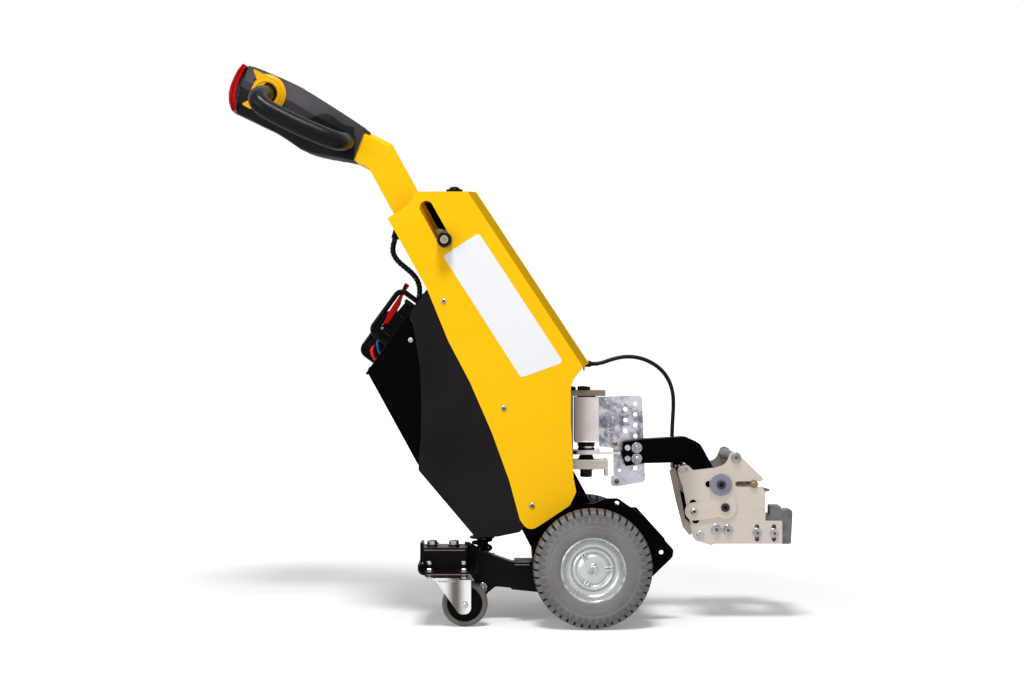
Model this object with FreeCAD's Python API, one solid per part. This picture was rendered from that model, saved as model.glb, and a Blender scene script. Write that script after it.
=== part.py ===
"""Pedestrian electric tow tug: a battery mover with a tiller, two driven wheels, two swivel
casters and a swinging coupling that carries a latching hitch. Millimetres. +X points to the
hitch, +Y to the machine's left, +Z up from the floor. The outlines are given from the main
axle; every piece is shifted along X at the end, so that the origin is under the middle."""
import FreeCAD, Part
import math
import os

V = FreeCAD.Vector

# ---- driving dimensions ------------------------------------------------------------------
TYRE_DIAMETER = 260.0
TYRE_WIDTH = 85.0
RIM_DIAMETER = 137.0
TRACK = 330.0
CASTER_DIAMETER = 100.0
CASTER_WIDTH = 30.0
CASTER_TRACK = 280.0
CASTER_TRAIL = 39.0
CASTER_SWIVEL_X = -318.0
COVER_WIDTH = 230.0
COVER_BEVEL = 16.0
SHEET = 2.5
LEAN_ANGLE = 61.3
MAST_DEPTH = 72.0
MAST_WIDTH = 80.0
MAST_WALL = 3.0
MAST_ENGAGED = 330.0
HEAD_WIDTH = 110.0
GRIP_DIAMETER = 42.0
GRIP_REACH = 140.0
BATTERY_WIDTH = 210.0
BAIL_DIAMETER = 11.7
PIVOT_DIAMETER = 20.0
PIVOT_TUBE = 55.0
COUPLING_X = -6.6
HOLE_PITCH = 24.7
HITCH_WIDTH = 180.0
HITCH_SHEET = 6.0
CABLE_DIAMETER = 12.0
LEAD_DIAMETER = 8.4

# ---- clearances and places that follow from them -------------------------------------------
SLIDE_GAP = 1.0
TURN_GAP = 0.3
AXLE_Z = TYRE_DIAMETER / 2
HUB_Y = TRACK / 2
CASTER_Y = CASTER_TRACK / 2
CASTER_X = CASTER_SWIVEL_X + CASTER_TRAIL
SIDE_Y = COVER_WIDTH / 2
REAR_SHEET_Y = SIDE_Y - SHEET - TURN_GAP
GUSSET_Y = 100.0
GUSSET_SHEET = 5.0
SPINE_WALL = 4.0
SPINE_HALF = MAST_WIDTH / 2 + SLIDE_GAP + SPINE_WALL
SPINE_BACK = -SLIDE_GAP - SPINE_WALL
SPINE_FRONT = MAST_DEPTH + SLIDE_GAP + SPINE_WALL
DECK_TOP = 200.0
DECK_SHEET = 6.0

ALONG = V(-math.cos(math.radians(LEAN_ANGLE)), 0, math.sin(math.radians(LEAN_ANGLE)))
AHEAD = V(ALONG.z, 0, -ALONG.x)
MAST_FOOT = V(-442.2, 0, 911.6)


# ---- places and sizes of each group ---------------------------------------------------------
# main wheels
SHAFT_RADIUS = 10.0
DRIVE_HALF = 55.0
AXLE_TUBE_END = 118.0
GEARBOX_LOW = 88.0
MOTOR_RADIUS = 24.0
MOTOR_X = 50.0
MOTOR_HALF = 60.0

# frame
LOW_SCREW = (-131.7, 261.2)
TIE_HOLES = [(57.1, 265.0), (155.7, 156.0)]
TIE_HOLE_RADIUS = 5.0
LEFT_GUSSET_TOP = 236.0

# rear arm, spring and casters
ARM_END = -281.4
ARM_HALF = 66.0
ARM_SHEET = 6.0
ARM_FOLD = 28.0
ARM_TOP = [(ARM_END, 176.2), (-251.2, 159.6), (-214.1, 143.6), (-178.6, 131.2), (-131.3, 124.5)]
LEFT_CHEEK_DROP = 20.0
SPRING_X = -244.0
SPRING_LOW = 134.0
SPRING_HIGH = 176.0
SPRING_DIAMETER = 48.0
SPRING_WIRE = 8.0
ROD_RADIUS = 6.0
COVER_LOW = 190.0
BEAM_X = (-372.0, -275.0)
BEAM_Z = (122.0, 170.0)
BEAM_LOW = 143.0
BLOCK_IN = 59.0
BEAM_WALL = 5.0
TRAY_X = (-380.0, -249.0)
TRAY_SHEET = 5.0
TRAY_RIM = 140.0
TRAY_OVERHANG = 44.0
HEAD_LOW = 104.0

# covers
COVER_TOP = 955.6
SIDE_TOP_FRONT = (-273.9, COVER_TOP)
SIDE_LOW_FRONT = (-18.3, 567.4)
SLOT_TOP = (-365.2, 920.5)
KNOB = (-324.4, 847.7)
SLOT_RADIUS = 14.7
REAR_TOP = (-450.5, 896.4)
REAR_LOW = (-364.3, 741.6)
BACK_PLATE = (V(REAR_TOP[0], 0, REAR_TOP[1]) - MAST_FOOT).dot(AHEAD)
MAST_WAY = 6.0
GLAND_X = (-10.4, 4.0)
GLAND_Z = 573.0
GLAND_RADIUS = 7.0

# battery
LID_LOW = V(-499.4, 0, 554.4)
LID_HIGH = V(-364.8, 0, 739.5)
LID_ALONG = (LID_HIGH - LID_LOW).normalize()
LID_OUT = V(-LID_ALONG.z, 0, LID_ALONG.x)
LID_SHEET = 5.0
CASE_WALL = 3.0
CASE_BACK = -218.5
CASE_FRONT = -80.0
CASE_LOW = -520.4
BAIL_RISE = 51.0
BAIL_SPAN = 116.0

# tiller
BEND = 131.0
NECK_ANGLE = 26.6
NECK_LENGTH = 100.0
MAST_BEVEL = 9.0
CLAMP_HALF = 22.0
CLAMP_BACK = 58.0
CLAMP_FRONT = 90.0
KNOB_RADIUS = 16.6
KNOB_REACH = 34.0
THROTTLE = (-728.0, 1180.0)
BUTTON_EDGE = [(-776.8, 1244.3), (-797.0, 1195.0), (-800.1, 1150.0)]
HEAD_WALL = 4.0

# coupling
CLEVIS_HALF = 32.0
CHEEK_FRONT = -37.5
BASE_HALF = 23.0
CLEVIS_TOP = (500.5, 513.4)
CLEVIS_BASE = (334.0, 355.5)
TUBE_Z = (396.0, 498.0)
TUBE_WALL = 5.0
SWING_Z = (367.7, 377.5)
PLATE_Y = (20.0, 26.0)
TONGUE_END = 71.0
HOLE_ROWS = ((84.5, 468.5, 3), (107.3, 481.5, 7))
ARM_WIDTH = 40.0
ARM_WALL = 5.0
SPREADER_X = (236.0, 262.0)
SPREADER_Z = (292.0, 320.0)

# hitch
HITCH_IN = HITCH_WIDTH / 2 - HITCH_SHEET
CRANK_PIVOT = (298.3, 255.1)
CRANK_LOW = (229.0, 246.0)
CRANK_TOP = (288.7, 305.9)
CRANK_SHEET = 5.0
ROD = 5.0
LATCH_TRAVEL = 10.65
JAW_BLOCK = 40.0
LATCH_PIN = (362.6, 306.5)


# ---- shape helpers -------------------------------------------------------------------------
def lean(ahead, up):
    """The (x, z) point that lies ahead of the mast's rear face and up along the mast."""
    place = MAST_FOOT + AHEAD * ahead + ALONG * up
    return (place.x, place.z)


def on_plane(plane, a, b, depth):
    """A point given by its two coordinates in a named plane and its depth across it."""
    return {"xz": V(a, depth, b), "xy": V(a, b, depth), "yz": V(depth, a, b)}[plane]


def outline(corners, plane="xz", depth=0.0):
    """A closed wire through the corners; a corner's third number is its rounding radius."""
    points = [on_plane(plane, c[0], c[1], depth) for c in corners]
    radii = [c[2] if len(c) > 2 else 0.0 for c in corners]
    edges = []
    cuts = []
    for i, point in enumerate(points):
        back = (points[i - 1] - point).normalize()
        ahead = (points[(i + 1) % len(points)] - point).normalize()
        half = back.getAngle(ahead) / 2
        run = radii[i] / math.tan(half) if radii[i] else 0.0
        middle = (back + ahead).normalize()
        deep = radii[i] / math.sin(half) - radii[i] if radii[i] else 0.0
        cuts.append((point + back * run, point + middle * deep, point + ahead * run))
    for i, (start, crown, end) in enumerate(cuts):
        if radii[i]:
            edges.append(Part.Arc(start, crown, end).toShape())
        following = cuts[(i + 1) % len(cuts)][0]
        if end.distanceToPoint(following) > 1e-6:
            edges.append(Part.LineSegment(end, following).toShape())
    return Part.Wire(edges)


def prism(corners, start, end, plane="xz"):
    """The outline pushed straight from one depth to another."""
    face = Part.Face(outline(corners, plane, start))
    return face.extrude(on_plane(plane, 0, 0, end - start))


def box(x, y, z):
    """A block between the low and high value of each axis."""
    return Part.makeBox(x[1] - x[0], y[1] - y[0], z[1] - z[0], V(x[0], y[0], z[0]))


def bar(start, end, radius):
    """A round bar between two points."""
    return Part.makeCylinder(radius, start.distanceToPoint(end), start, end - start)


def across(x, z, low, high, radius):
    """A round bar along Y."""
    return bar(V(x, low, z), V(x, high, z), radius)


def upright(x, y, low, high, radius):
    """A round bar along Z."""
    return bar(V(x, y, low), V(x, y, high), radius)


def slot(start, end, radius, low, high):
    """A round-ended hole through a plate, between two (x, z) centres."""
    a = V(start[0], low, start[1])
    b = V(end[0], low, end[1])
    side = (b - a).cross(V(0, 1, 0)).normalize() * radius
    straight = Part.Face(Part.makePolygon([a + side, b + side, b - side, a - side, a + side]))
    middle = straight.extrude(V(0, high - low, 0))
    ends = [across(point[0], point[1], low, high, radius) for point in (start, end)]
    return middle.fuse(ends).removeSplitter()


def turned(profile, x, y, z):
    """A round body about an axis along Y, from (radius, offset along Y) corners."""
    points = [V(x + c[0], y + c[1], z) for c in profile]
    face = Part.Face(Part.makePolygon(points + points[:1]))
    return face.revolve(V(x, y, z), V(0, 1, 0), 360)


def sheet(corners, thickness):
    """A flat plate on 3-D corners, its thickness going to the side that they turn round."""
    face = Part.Face(Part.makePolygon(corners + corners[:1]))
    normal = (corners[1] - corners[0]).cross(corners[2] - corners[1]).normalize()
    return face.extrude(normal * thickness)


def mirrored(shape):
    """The same piece on the other side of the machine."""
    return shape.mirror(V(0, 0, 0), V(0, 1, 0))


def bent_path(points, radii):
    """A wire of straight runs through the points, joined by tangent arcs."""
    edges = []
    start = points[0]
    for before, point, after, radius in zip(points, points[1:], points[2:], radii):
        back = (before - point).normalize()
        ahead = (after - point).normalize()
        half = back.getAngle(ahead) / 2
        run = radius / math.tan(half)
        crown = point + (back + ahead).normalize() * (radius / math.sin(half) - radius)
        edges.append(Part.LineSegment(start, point + back * run).toShape())
        edges.append(Part.Arc(point + back * run, crown, point + ahead * run).toShape())
        start = point + ahead * run
    edges.append(Part.LineSegment(start, points[-1]).toShape())
    return Part.Wire(edges)


def bent_bar(points, radii, radius):
    """A round bar swept along a bent path."""
    path = bent_path(points, radii)
    circle = Part.Circle(points[0], points[1] - points[0], radius).toShape()
    return path.makePipeShell([Part.Wire([circle])], True, False)


def cord(name, points, diameter):
    """A cable's tube, each arc as large as its two runs allow; prints its radii and volume."""
    radii = []
    for before, point, after in zip(points, points[1:], points[2:]):
        half_turn = (point - before).getAngle(after - point) / 2
        shorter = min(before.distanceToPoint(point), point.distanceToPoint(after))
        radii.append(0.45 * shorter / math.tan(half_turn))
    shape = bent_bar(points, radii, diameter / 2)
    length = bent_path(points, radii).Length
    section = math.pi * diameter ** 2 / 4
    print(name, "radii", [round(r, 1) for r in radii], "length", round(length, 1),
          "volume ratio", round(shape.Volume / (section * length), 4))
    return shape


pieces = {}


def add(name, shape):
    """Keep one finished piece under its node name."""
    pieces[name] = shape


def add_pair(name, right):
    """Keep a piece of the right side and its mirror image on the left."""
    add(name + "_right", right)
    add(name + "_left", mirrored(right))


# ---- main wheels ---------------------------------------------------------------------------
def main_wheels():
    """Block-tread tyres on pressed steel rims; each rim carries its drive shaft."""
    outer = TYRE_DIAMETER / 2
    half = TYRE_WIDTH / 2
    seat = RIM_DIAMETER / 2
    tyre = [(seat, -half + 6), (seat + 14, -half), (outer - 26, -half), (outer - 9, -half + 7),
            (outer, -half + 24), (outer, half - 24), (outer - 9, half - 7), (outer - 26, half),
            (seat + 14, half), (seat, half - 6)]
    add_pair("tyre", turned(tyre, 0, -HUB_Y, AXLE_Z))
    lip = half - 6
    disc = half - 20
    rim = [(seat, -lip), (seat, lip), (seat - 6, lip), (seat - 6, -disc + 4), (17, -disc + 4),
           (17, half - 10), (10, half - 10), (10, -half + 4), (17, -half + 4), (17, -disc),
           (seat - 9, -disc), (seat - 6, -lip)]
    shaft = across(0, AXLE_Z, -HUB_Y - half + 4, -DRIVE_HALF - 2, SHAFT_RADIUS)
    add_pair("rim", turned(rim, 0, -HUB_Y, AXLE_Z).fuse(shaft).removeSplitter())


# ---- frame ---------------------------------------------------------------------------------
def drive_unit():
    """Gearbox with its axle tubes and the motor that lies across on top of the deck."""
    gearbox = box((-60, 60), (-DRIVE_HALF, DRIVE_HALF), (GEARBOX_LOW, DECK_TOP - DECK_SHEET))
    tube = across(0, AXLE_Z, -AXLE_TUBE_END, AXLE_TUBE_END, 22)
    bore = across(0, AXLE_Z, -AXLE_TUBE_END, AXLE_TUBE_END, SHAFT_RADIUS + TURN_GAP)
    add("drive_unit", gearbox.fuse(tube).cut(bore).removeSplitter())
    motor = across(MOTOR_X, DECK_TOP + MOTOR_RADIUS, -MOTOR_HALF, MOTOR_HALF, MOTOR_RADIUS)
    foot = box((MOTOR_X - 12, MOTOR_X + 12), (-50, 50), (DECK_TOP, DECK_TOP + 6))
    add("motor", motor.fuse(foot).removeSplitter())


def gussets():
    """The black side plates between which the drive unit hangs; the left one is lower in front."""
    corners = [(-170, 240, 8), (-151.5, 201.7), (-128, 157), (-128, 112, 12), (-70, 72, 10),
               (62, 72, 20), (136.4, 102.6, 10), (181, 145.8, 9), (183.2, 161.3, 9),
               (113.6, 238.3, 14), (59.5, 275.9, 12), (34.2, 275.5, 10), (4, 264), (-32, 264),
               (-70, 330, 10), (-140, 330, 10)]
    right = prism(corners, -GUSSET_Y, -GUSSET_Y + GUSSET_SHEET)
    boss = across(*LOW_SCREW, -SIDE_Y + SHEET, -GUSSET_Y, 9)
    axle = across(0, AXLE_Z, -GUSSET_Y - 1, 0, 22)
    right = right.fuse(boss).cut(axle)
    for x, z in TIE_HOLES:
        right = right.cut(across(x, z, -GUSSET_Y - 1, 0, TIE_HOLE_RADIUS))
    right = right.removeSplitter()
    above = box((-20, 200), (0, GUSSET_Y + 1), (LEFT_GUSSET_TOP, 340))
    add("gusset_right", right)
    add("gusset_left", mirrored(right).cut(above))
    inside = GUSSET_Y - GUSSET_SHEET
    add("deck", box((-122, 122), (-inside, inside), (DECK_TOP - DECK_SHEET, DECK_TOP)))


def spine():
    """The leaning box column from the deck up, in whose top the tiller's mast slides."""
    top = -140.0
    low = -860.0
    outer = [lean(SPINE_BACK, top), lean(SPINE_FRONT, top), lean(SPINE_FRONT, low),
             lean(SPINE_BACK, low)]
    inner = [lean(-SLIDE_GAP, top + 1), lean(MAST_DEPTH + SLIDE_GAP, top + 1),
             lean(MAST_DEPTH + SLIDE_GAP, low - 1), lean(-SLIDE_GAP, low - 1)]
    hollow = SPINE_HALF - SPINE_WALL
    tube = prism(outer, -SPINE_HALF, SPINE_HALF).cut(prism(inner, -hollow, hollow))
    tube = tube.common(box((-600, 300), (-100, 100), (DECK_TOP, 900)))
    for ahead, up in ((8.8, -500.8), (6.1, -228.9)):
        x, z = lean(ahead, up)
        for side in (-1, 1):
            ends = sorted((side * SPINE_HALF, side * (SIDE_Y - SHEET)))
            tube = tube.fuse(across(x, z, ends[0], ends[1], 9))
    add("spine", tube.removeSplitter())


# ---- rear arm, spring and casters ------------------------------------------------------------
def arm_cheek(drop):
    """One side sheet of the rear arm, whose top edge stands lower by the drop."""
    top = [(x, z - drop) for x, z in ARM_TOP]
    corners = top + [(-70, 122 - drop / 4, 8), (-40, 118, 12), (-40, 78, 12), (-100, 60.5),
                     (-176, 68.3), (-178.6, 71.9), (-212.3, 75.4, 14), (-233.4, 58, 3),
                     (-262, 92, 10), (ARM_END, 117)]
    return prism(corners, -ARM_HALF, -ARM_HALF + ARM_SHEET)


def rear_arm():
    """The low arm that carries the casters: two cheeks with cross plates between them."""
    pivot = across(-54, 100, -ARM_HALF + ARM_SHEET, -DRIVE_HALF, 14)
    fold_top = [(BEAM_X[1] + 0.1, 172.6)] + ARM_TOP[1:]
    fold_low = [(x, z - ARM_SHEET) for x, z in fold_top]
    fold = prism(fold_top + fold_low[::-1], -ARM_HALF, -ARM_HALF + ARM_FOLD)
    right = arm_cheek(0).fuse([pivot, fold])
    left = mirrored(arm_cheek(LEFT_CHEEK_DROP).fuse(pivot))
    inside = ARM_HALF - ARM_SHEET
    seat = box((-272, -216), (-inside, inside), (SPRING_LOW - 5, SPRING_LOW))
    tie = box((-170, -110), (-inside, inside), (100, 106))
    hole = upright(SPRING_X, 0, SPRING_LOW - 6, SPRING_LOW + 1, ROD_RADIUS + TURN_GAP)
    add("rear_arm", right.fuse([left, seat, tie]).cut(hole).removeSplitter())


def spring():
    """The coil's envelope as a sleeve, and the rod with its cap that stands inside it."""
    sleeve = upright(SPRING_X, 0, SPRING_LOW, SPRING_HIGH, SPRING_DIAMETER / 2)
    inner = SPRING_DIAMETER / 2 - SPRING_WIRE
    add("spring", sleeve.cut(upright(SPRING_X, 0, SPRING_LOW, SPRING_HIGH, inner)))
    rod = upright(SPRING_X, 0, SPRING_LOW - 20, SPRING_HIGH, ROD_RADIUS)
    cap = upright(SPRING_X, 0, SPRING_HIGH, COVER_LOW, SPRING_DIAMETER / 2 - 4)
    flange = upright(SPRING_X, 0, SPRING_HIGH, SPRING_HIGH + 4, SPRING_DIAMETER / 2 + 4)
    add("spring_rod", rod.fuse([cap, flange]).removeSplitter())


def caster_beam():
    """The cross member on the arm's end, with a trough under each end for its caster.

    Its right end is a raised, closed block with a lip behind it; the rest is a low channel.
    """
    reach = CASTER_Y - 8
    wall = BEAM_WALL
    tube = box(BEAM_X, (-reach, reach), BEAM_Z)
    inner = box((BEAM_X[0] + wall, BEAM_X[1] - wall), (-reach + wall, reach - wall),
                (BEAM_Z[0] + wall, BEAM_Z[1] - wall))
    above = box((BEAM_X[0] - 1, BEAM_X[1] + 1), (-BLOCK_IN, reach + 1), (BEAM_LOW, BEAM_Z[1] + 1))
    end = box(BEAM_X, (-BLOCK_IN - wall, -BLOCK_IN), BEAM_Z)
    lip = box((BEAM_X[0] - 7, BEAM_X[0]), (-reach + 20, -BLOCK_IN), (136, 178))
    beam = tube.cut(inner).cut(above).fuse([end, lip])
    for side in (-1, 1):
        cheek = sorted((side * ARM_HALF, side * (ARM_HALF - ARM_SHEET)))
        beam = beam.cut(box((ARM_END, BEAM_X[1]), cheek, (100, 180)))
    low = BEAM_Z[0] - TRAY_SHEET
    rear, front = TRAY_X
    section = [(rear, TRAY_RIM), (rear, low, 14), (front, low, 14), (front, TRAY_RIM),
               (front - TRAY_SHEET, TRAY_RIM), (front - TRAY_SHEET, BEAM_Z[0], 9),
               (rear + TRAY_SHEET, BEAM_Z[0], 9), (rear + TRAY_SHEET, TRAY_RIM)]
    trough = prism(section, -CASTER_Y - TRAY_OVERHANG, -CASTER_Y + 50)
    post = upright(CASTER_SWIVEL_X, -CASTER_Y, HEAD_LOW + 5, low, 26)
    welded = [trough, mirrored(trough), post, mirrored(post)]
    add("caster_beam", beam.fuse(welded).removeSplitter())


def casters():
    """Swivel forks with their bolts, and the wheels that turn between the cheeks."""
    radius = CASTER_DIAMETER / 2
    half = CASTER_WIDTH / 2
    cheek_in = half + 5
    cheek_out = cheek_in + 3
    crown_low = HEAD_LOW - 1
    crown = prism([(CASTER_SWIVEL_X - 32, -cheek_out - 4, 12),
                   (CASTER_SWIVEL_X + 32, -cheek_out - 4, 12),
                   (CASTER_SWIVEL_X + 32, cheek_out + 4, 12),
                   (CASTER_SWIVEL_X - 32, cheek_out + 4, 12)], crown_low, HEAD_LOW + 4.5, "xy")
    side = [(CASTER_SWIVEL_X - 26, crown_low + 1), (CASTER_X + 14, crown_low + 1),
            (CASTER_X + 14, radius - 21, 14), (CASTER_X - 12, radius - 21, 12)]
    cheeks = prism(side, -cheek_out, -cheek_in).fuse(prism(side, cheek_in, cheek_out))
    bolt = across(CASTER_X, radius, -cheek_out - 5, cheek_out + 5, 5)
    fork = crown.fuse([cheeks, bolt]).removeSplitter()
    fork.translate(V(0, -CASTER_Y, 0))
    add_pair("caster_fork", fork)
    wheel = [(radius, -half + 6), (radius, half - 6), (radius - 8, half), (radius - 12, half),
             (20, half - 4), (12, half + 4), (5 + TURN_GAP, half + 4), (5 + TURN_GAP, -half - 4),
             (12, -half - 4), (20, -half + 4), (radius - 12, -half), (radius - 8, -half)]
    add_pair("caster_wheel", turned(wheel, CASTER_X, -CASTER_Y, radius))


# ---- covers --------------------------------------------------------------------------------
def side_panels():
    """The flat yellow side sheets; the right one has the slot for the tiller's clamp."""
    corners = [REAR_TOP, (-437.9, 905), (-409.2, 923.5, 14), (-394.8, 942, 8),
               (-394.8, COVER_TOP), SIDE_TOP_FRONT, SIDE_LOW_FRONT, (-38.9, 540.9),
               (-45.5, 524, 10), (-45.9, 452), (-39.5, 321.8), (-33.5, 291, 12),
               (-47.9, 261.4, 16), (-115.6, 216.3, 6), (-139, 204, 20), (-158, 229),
               (-182.1, 317.4), (-220.4, 422.8), (-268.3, 533.1), (-316.3, 624.2), REAR_LOW]
    panel = prism(corners, -SIDE_Y, -SIDE_Y + SHEET)
    hole = slot(SLOT_TOP, KNOB, SLOT_RADIUS, -SIDE_Y - 1, 0)
    add("cover_panel_right", panel.cut(hole))
    add("cover_panel_left", mirrored(panel))


def front_cover():
    """The folded sheet over the top and down the front, bevelled along both edges."""
    down = (V(*SIDE_LOW_FRONT, 0) - V(*SIDE_TOP_FRONT, 0)).normalize()
    out = V(-down.y, down.x, 0) * COVER_BEVEL
    top_x = SIDE_TOP_FRONT[0] + COVER_BEVEL ** 2 / out.x
    low = V(*SIDE_LOW_FRONT, 0) + out
    face_y = SIDE_Y - COVER_BEVEL
    top_front = [V(top_x, side * face_y, COVER_TOP) for side in (-1, 1)]
    low_front = [V(low.x, side * face_y, low.y) for side in (-1, 1)]
    top_edge = [V(SIDE_TOP_FRONT[0], side * SIDE_Y, COVER_TOP) for side in (-1, 1)]
    low_edge = [V(SIDE_LOW_FRONT[0], side * SIDE_Y, SIDE_LOW_FRONT[1]) for side in (-1, 1)]
    rear = [V(-394.8, side * (SIDE_Y - SHEET), COVER_TOP) for side in (-1, 1)]
    corner = [V(SIDE_TOP_FRONT[0], side * (SIDE_Y - SHEET), COVER_TOP) for side in (-1, 1)]
    top = sheet([rear[0], rear[1], corner[1], top_edge[1], top_front[1], top_front[0],
                 top_edge[0], corner[0]], SHEET)
    front = sheet([top_front[0], top_front[1], low_front[1], low_front[0]], SHEET)
    bevels = [sheet([top_edge[0], top_front[0], low_front[0], low_edge[0]], SHEET),
              sheet([top_front[1], top_edge[1], low_edge[1], low_front[1]], SHEET)]
    rise = (COVER_TOP - MAST_FOOT.z - AHEAD.z * MAST_DEPTH) / ALONG.z
    notch_end = lean(MAST_DEPTH, rise)[0] + MAST_WAY
    way_y = MAST_WIDTH / 2 + MAST_WAY
    tab = box((low.x - 8, low.x - 8 + SHEET), (-16, 16), (low.y - 18, low.y + 4))
    mast_way = box((-400, notch_end), (-way_y, way_y), (COVER_TOP - 9, COVER_TOP + 1))
    gland_way = bar(V(low.x - 8 + SHEET, 0, GLAND_Z), V(10, 0, GLAND_Z), GLAND_RADIUS)
    cover = top.fuse([front, tab] + bevels).cut(mast_way).cut(gland_way)
    for side in (-1, 1):
        ends = sorted((side * (SIDE_Y - SHEET), side * SIDE_Y))
        cover = cover.cut(side_solid(ends))
    add("cover_front", cover.removeSplitter())
    back = [V(REAR_TOP[0], side * (SIDE_Y - SHEET), REAR_TOP[1]) for side in (-1, 1)]
    foot = [V(REAR_LOW[0], side * (SIDE_Y - SHEET), REAR_LOW[1]) for side in (-1, 1)]
    plate = sheet([back[0], foot[0], foot[1], back[1]], SHEET)
    add("cover_back", plate)


def side_solid(ends):
    """The space of a side sheet near the front edge, so that the folded sheet meets it."""
    return prism([(-460, COVER_TOP + 1), (SIDE_TOP_FRONT[0], COVER_TOP + 1), SIDE_TOP_FRONT,
                  SIDE_LOW_FRONT, (-60, 540)], ends[0], ends[1])


def rear_cover():
    """The charcoal lower cover: two side sheets and the folded sheet under them."""
    corners = [(-364.4, 736.8), (-400.3, 688.8), (-388.3, 624.2), (-378.8, 557), (-376.4, 485),
               (-377.7, 413.1), (-382.6, 360.3), (-382.6, 338.8), (-256.5, COVER_LOW),
               (-206, 192.3), (-158, 202.1), (-142, 222), (-168, 318), (-206, 427),
               (-254, 538), (-302, 630), (-348, 716)]
    side = prism(corners, -REAR_SHEET_Y, -REAR_SHEET_Y + SHEET)
    add_pair("rear_cover", side)
    inside = REAR_SHEET_Y - SHEET
    lower = [V(-382.6, -inside, 338.8), V(-382.6, inside, 338.8), V(-256.5, inside, COVER_LOW),
             V(-256.5, -inside, COVER_LOW)]
    floor = [V(-256.5, -inside, COVER_LOW), V(-256.5, inside, COVER_LOW),
             V(-206, inside, 192.3), V(-206, -inside, 192.3)]
    fold = sheet(list(reversed(lower)), SHEET).fuse(sheet(list(reversed(floor)), SHEET))
    add("rear_cover_back", fold.removeSplitter())


# ---- battery ---------------------------------------------------------------------------------
def on_lid(along, out, y=0.0):
    """A point along the battery lid's slope, out from it and across the machine."""
    place = LID_LOW + LID_ALONG * along + LID_OUT * out
    return V(place.x, y, place.z)


def lid_line(ahead, depth):
    """The (x, z) point under the lid's outer face, at a distance ahead of the mast's back."""
    start = LID_LOW - LID_OUT * depth
    run = (ahead - (start - MAST_FOOT).dot(AHEAD)) / LID_ALONG.dot(AHEAD)
    place = start + LID_ALONG * run
    return (place.x, place.z)


def battery():
    """Case, lid and cells; the lid carries two bail handles and the quick-release plug."""
    half = BATTERY_WIDTH / 2
    outer = [lean(CASE_BACK, CASE_LOW), lean(CASE_FRONT, CASE_LOW),
             lid_line(CASE_FRONT, LID_SHEET), lid_line(CASE_BACK, LID_SHEET)]
    inner = [lean(CASE_BACK + CASE_WALL, CASE_LOW + CASE_WALL),
             lean(CASE_FRONT - CASE_WALL, CASE_LOW + CASE_WALL),
             lid_line(CASE_FRONT - CASE_WALL, LID_SHEET - 1),
             lid_line(CASE_BACK + CASE_WALL, LID_SHEET - 1)]
    hollow = prism(inner, -half + CASE_WALL, half - CASE_WALL)
    add("battery_case", prism(outer, -half, half).cut(hollow))
    cells = [lean(CASE_BACK + 6, CASE_LOW + CASE_WALL),
             lean(CASE_FRONT - 6, CASE_LOW + CASE_WALL), lid_line(CASE_FRONT - 6, 20),
             lid_line(CASE_BACK + 6, 20)]
    add("battery_cells", prism(cells, -half + 6, half - 6))
    lid = [on_lid(-2, 0), on_lid(LID_HIGH.distanceToPoint(LID_LOW), 0),
           on_lid(LID_HIGH.distanceToPoint(LID_LOW), -LID_SHEET), on_lid(-2, -LID_SHEET)]
    add("battery_lid", prism([(p.x, p.z) for p in lid], -half, half))
    radius = BAIL_DIAMETER / 2
    for name, start, y in (("bail_right", 78.5, -62.0), ("bail_left", 22.5, 62.0)):
        points = [on_lid(start, 0, y), on_lid(start, BAIL_RISE, y),
                  on_lid(start + BAIL_SPAN, BAIL_RISE, y), on_lid(start + BAIL_SPAN, 0, y)]
        add(name, bent_bar(points, [16, 16], radius))
    plug = [on_lid(72, 0), on_lid(184, 0), on_lid(184, 26), on_lid(150, 30), on_lid(101, 30),
            on_lid(96, 42), on_lid(74, 42)]
    socket = [on_lid(28, 0), on_lid(132, 0), on_lid(128, 40), on_lid(40, 45), on_lid(28, 38)]
    halves = [prism([(p.x, p.z) for p in plug], -36, 12),
              prism([(p.x, p.z) for p in socket], 12, 42)]
    add("connector", halves[0].fuse(halves[1]).removeSplitter())
    lever = [on_lid(106, 30.5), on_lid(107, 38.5), on_lid(145, 45), on_lid(178, 46),
             on_lid(212, 53.5), on_lid(213, 43), on_lid(185, 40.5), on_lid(166, 34),
             on_lid(165.5, 30.2), on_lid(139, 30.2)]
    add("connector_lever", prism([(p.x, p.z) for p in lever], -30, 0))


def rear_cable():
    """The wrapped cable that arches from the yellow back plate down to the battery lid."""
    down_out = (AHEAD + ALONG) * -1
    down_out.normalize()
    gland_at = V(-438.2, 0, 874.0)
    gland_end = gland_at + down_out * 16
    boot = bar(gland_at - down_out * 12, gland_end, CABLE_DIAMETER / 2 + 3)
    outside = prism([lean(BACK_PLATE, 0), lean(BACK_PLATE, -80), lean(BACK_PLATE - 60, -80),
                     lean(BACK_PLATE - 60, 0)], -20, 20)
    add("rear_gland", boot.common(outside))
    route = [gland_end, gland_end + down_out * 17, V(-447.5, 0, 825), V(-437, 0, 808),
             V(-420, 0, 793.5), V(-403.5, 0, 780), V(-391, 0, 764), V(-386, 0, 746),
             V(-386.8, 0, 727), V(-390, 0, 706)]
    add("rear_cable", cord("rear_cable", route, CABLE_DIAMETER).cut(pieces["battery_lid"]))


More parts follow.
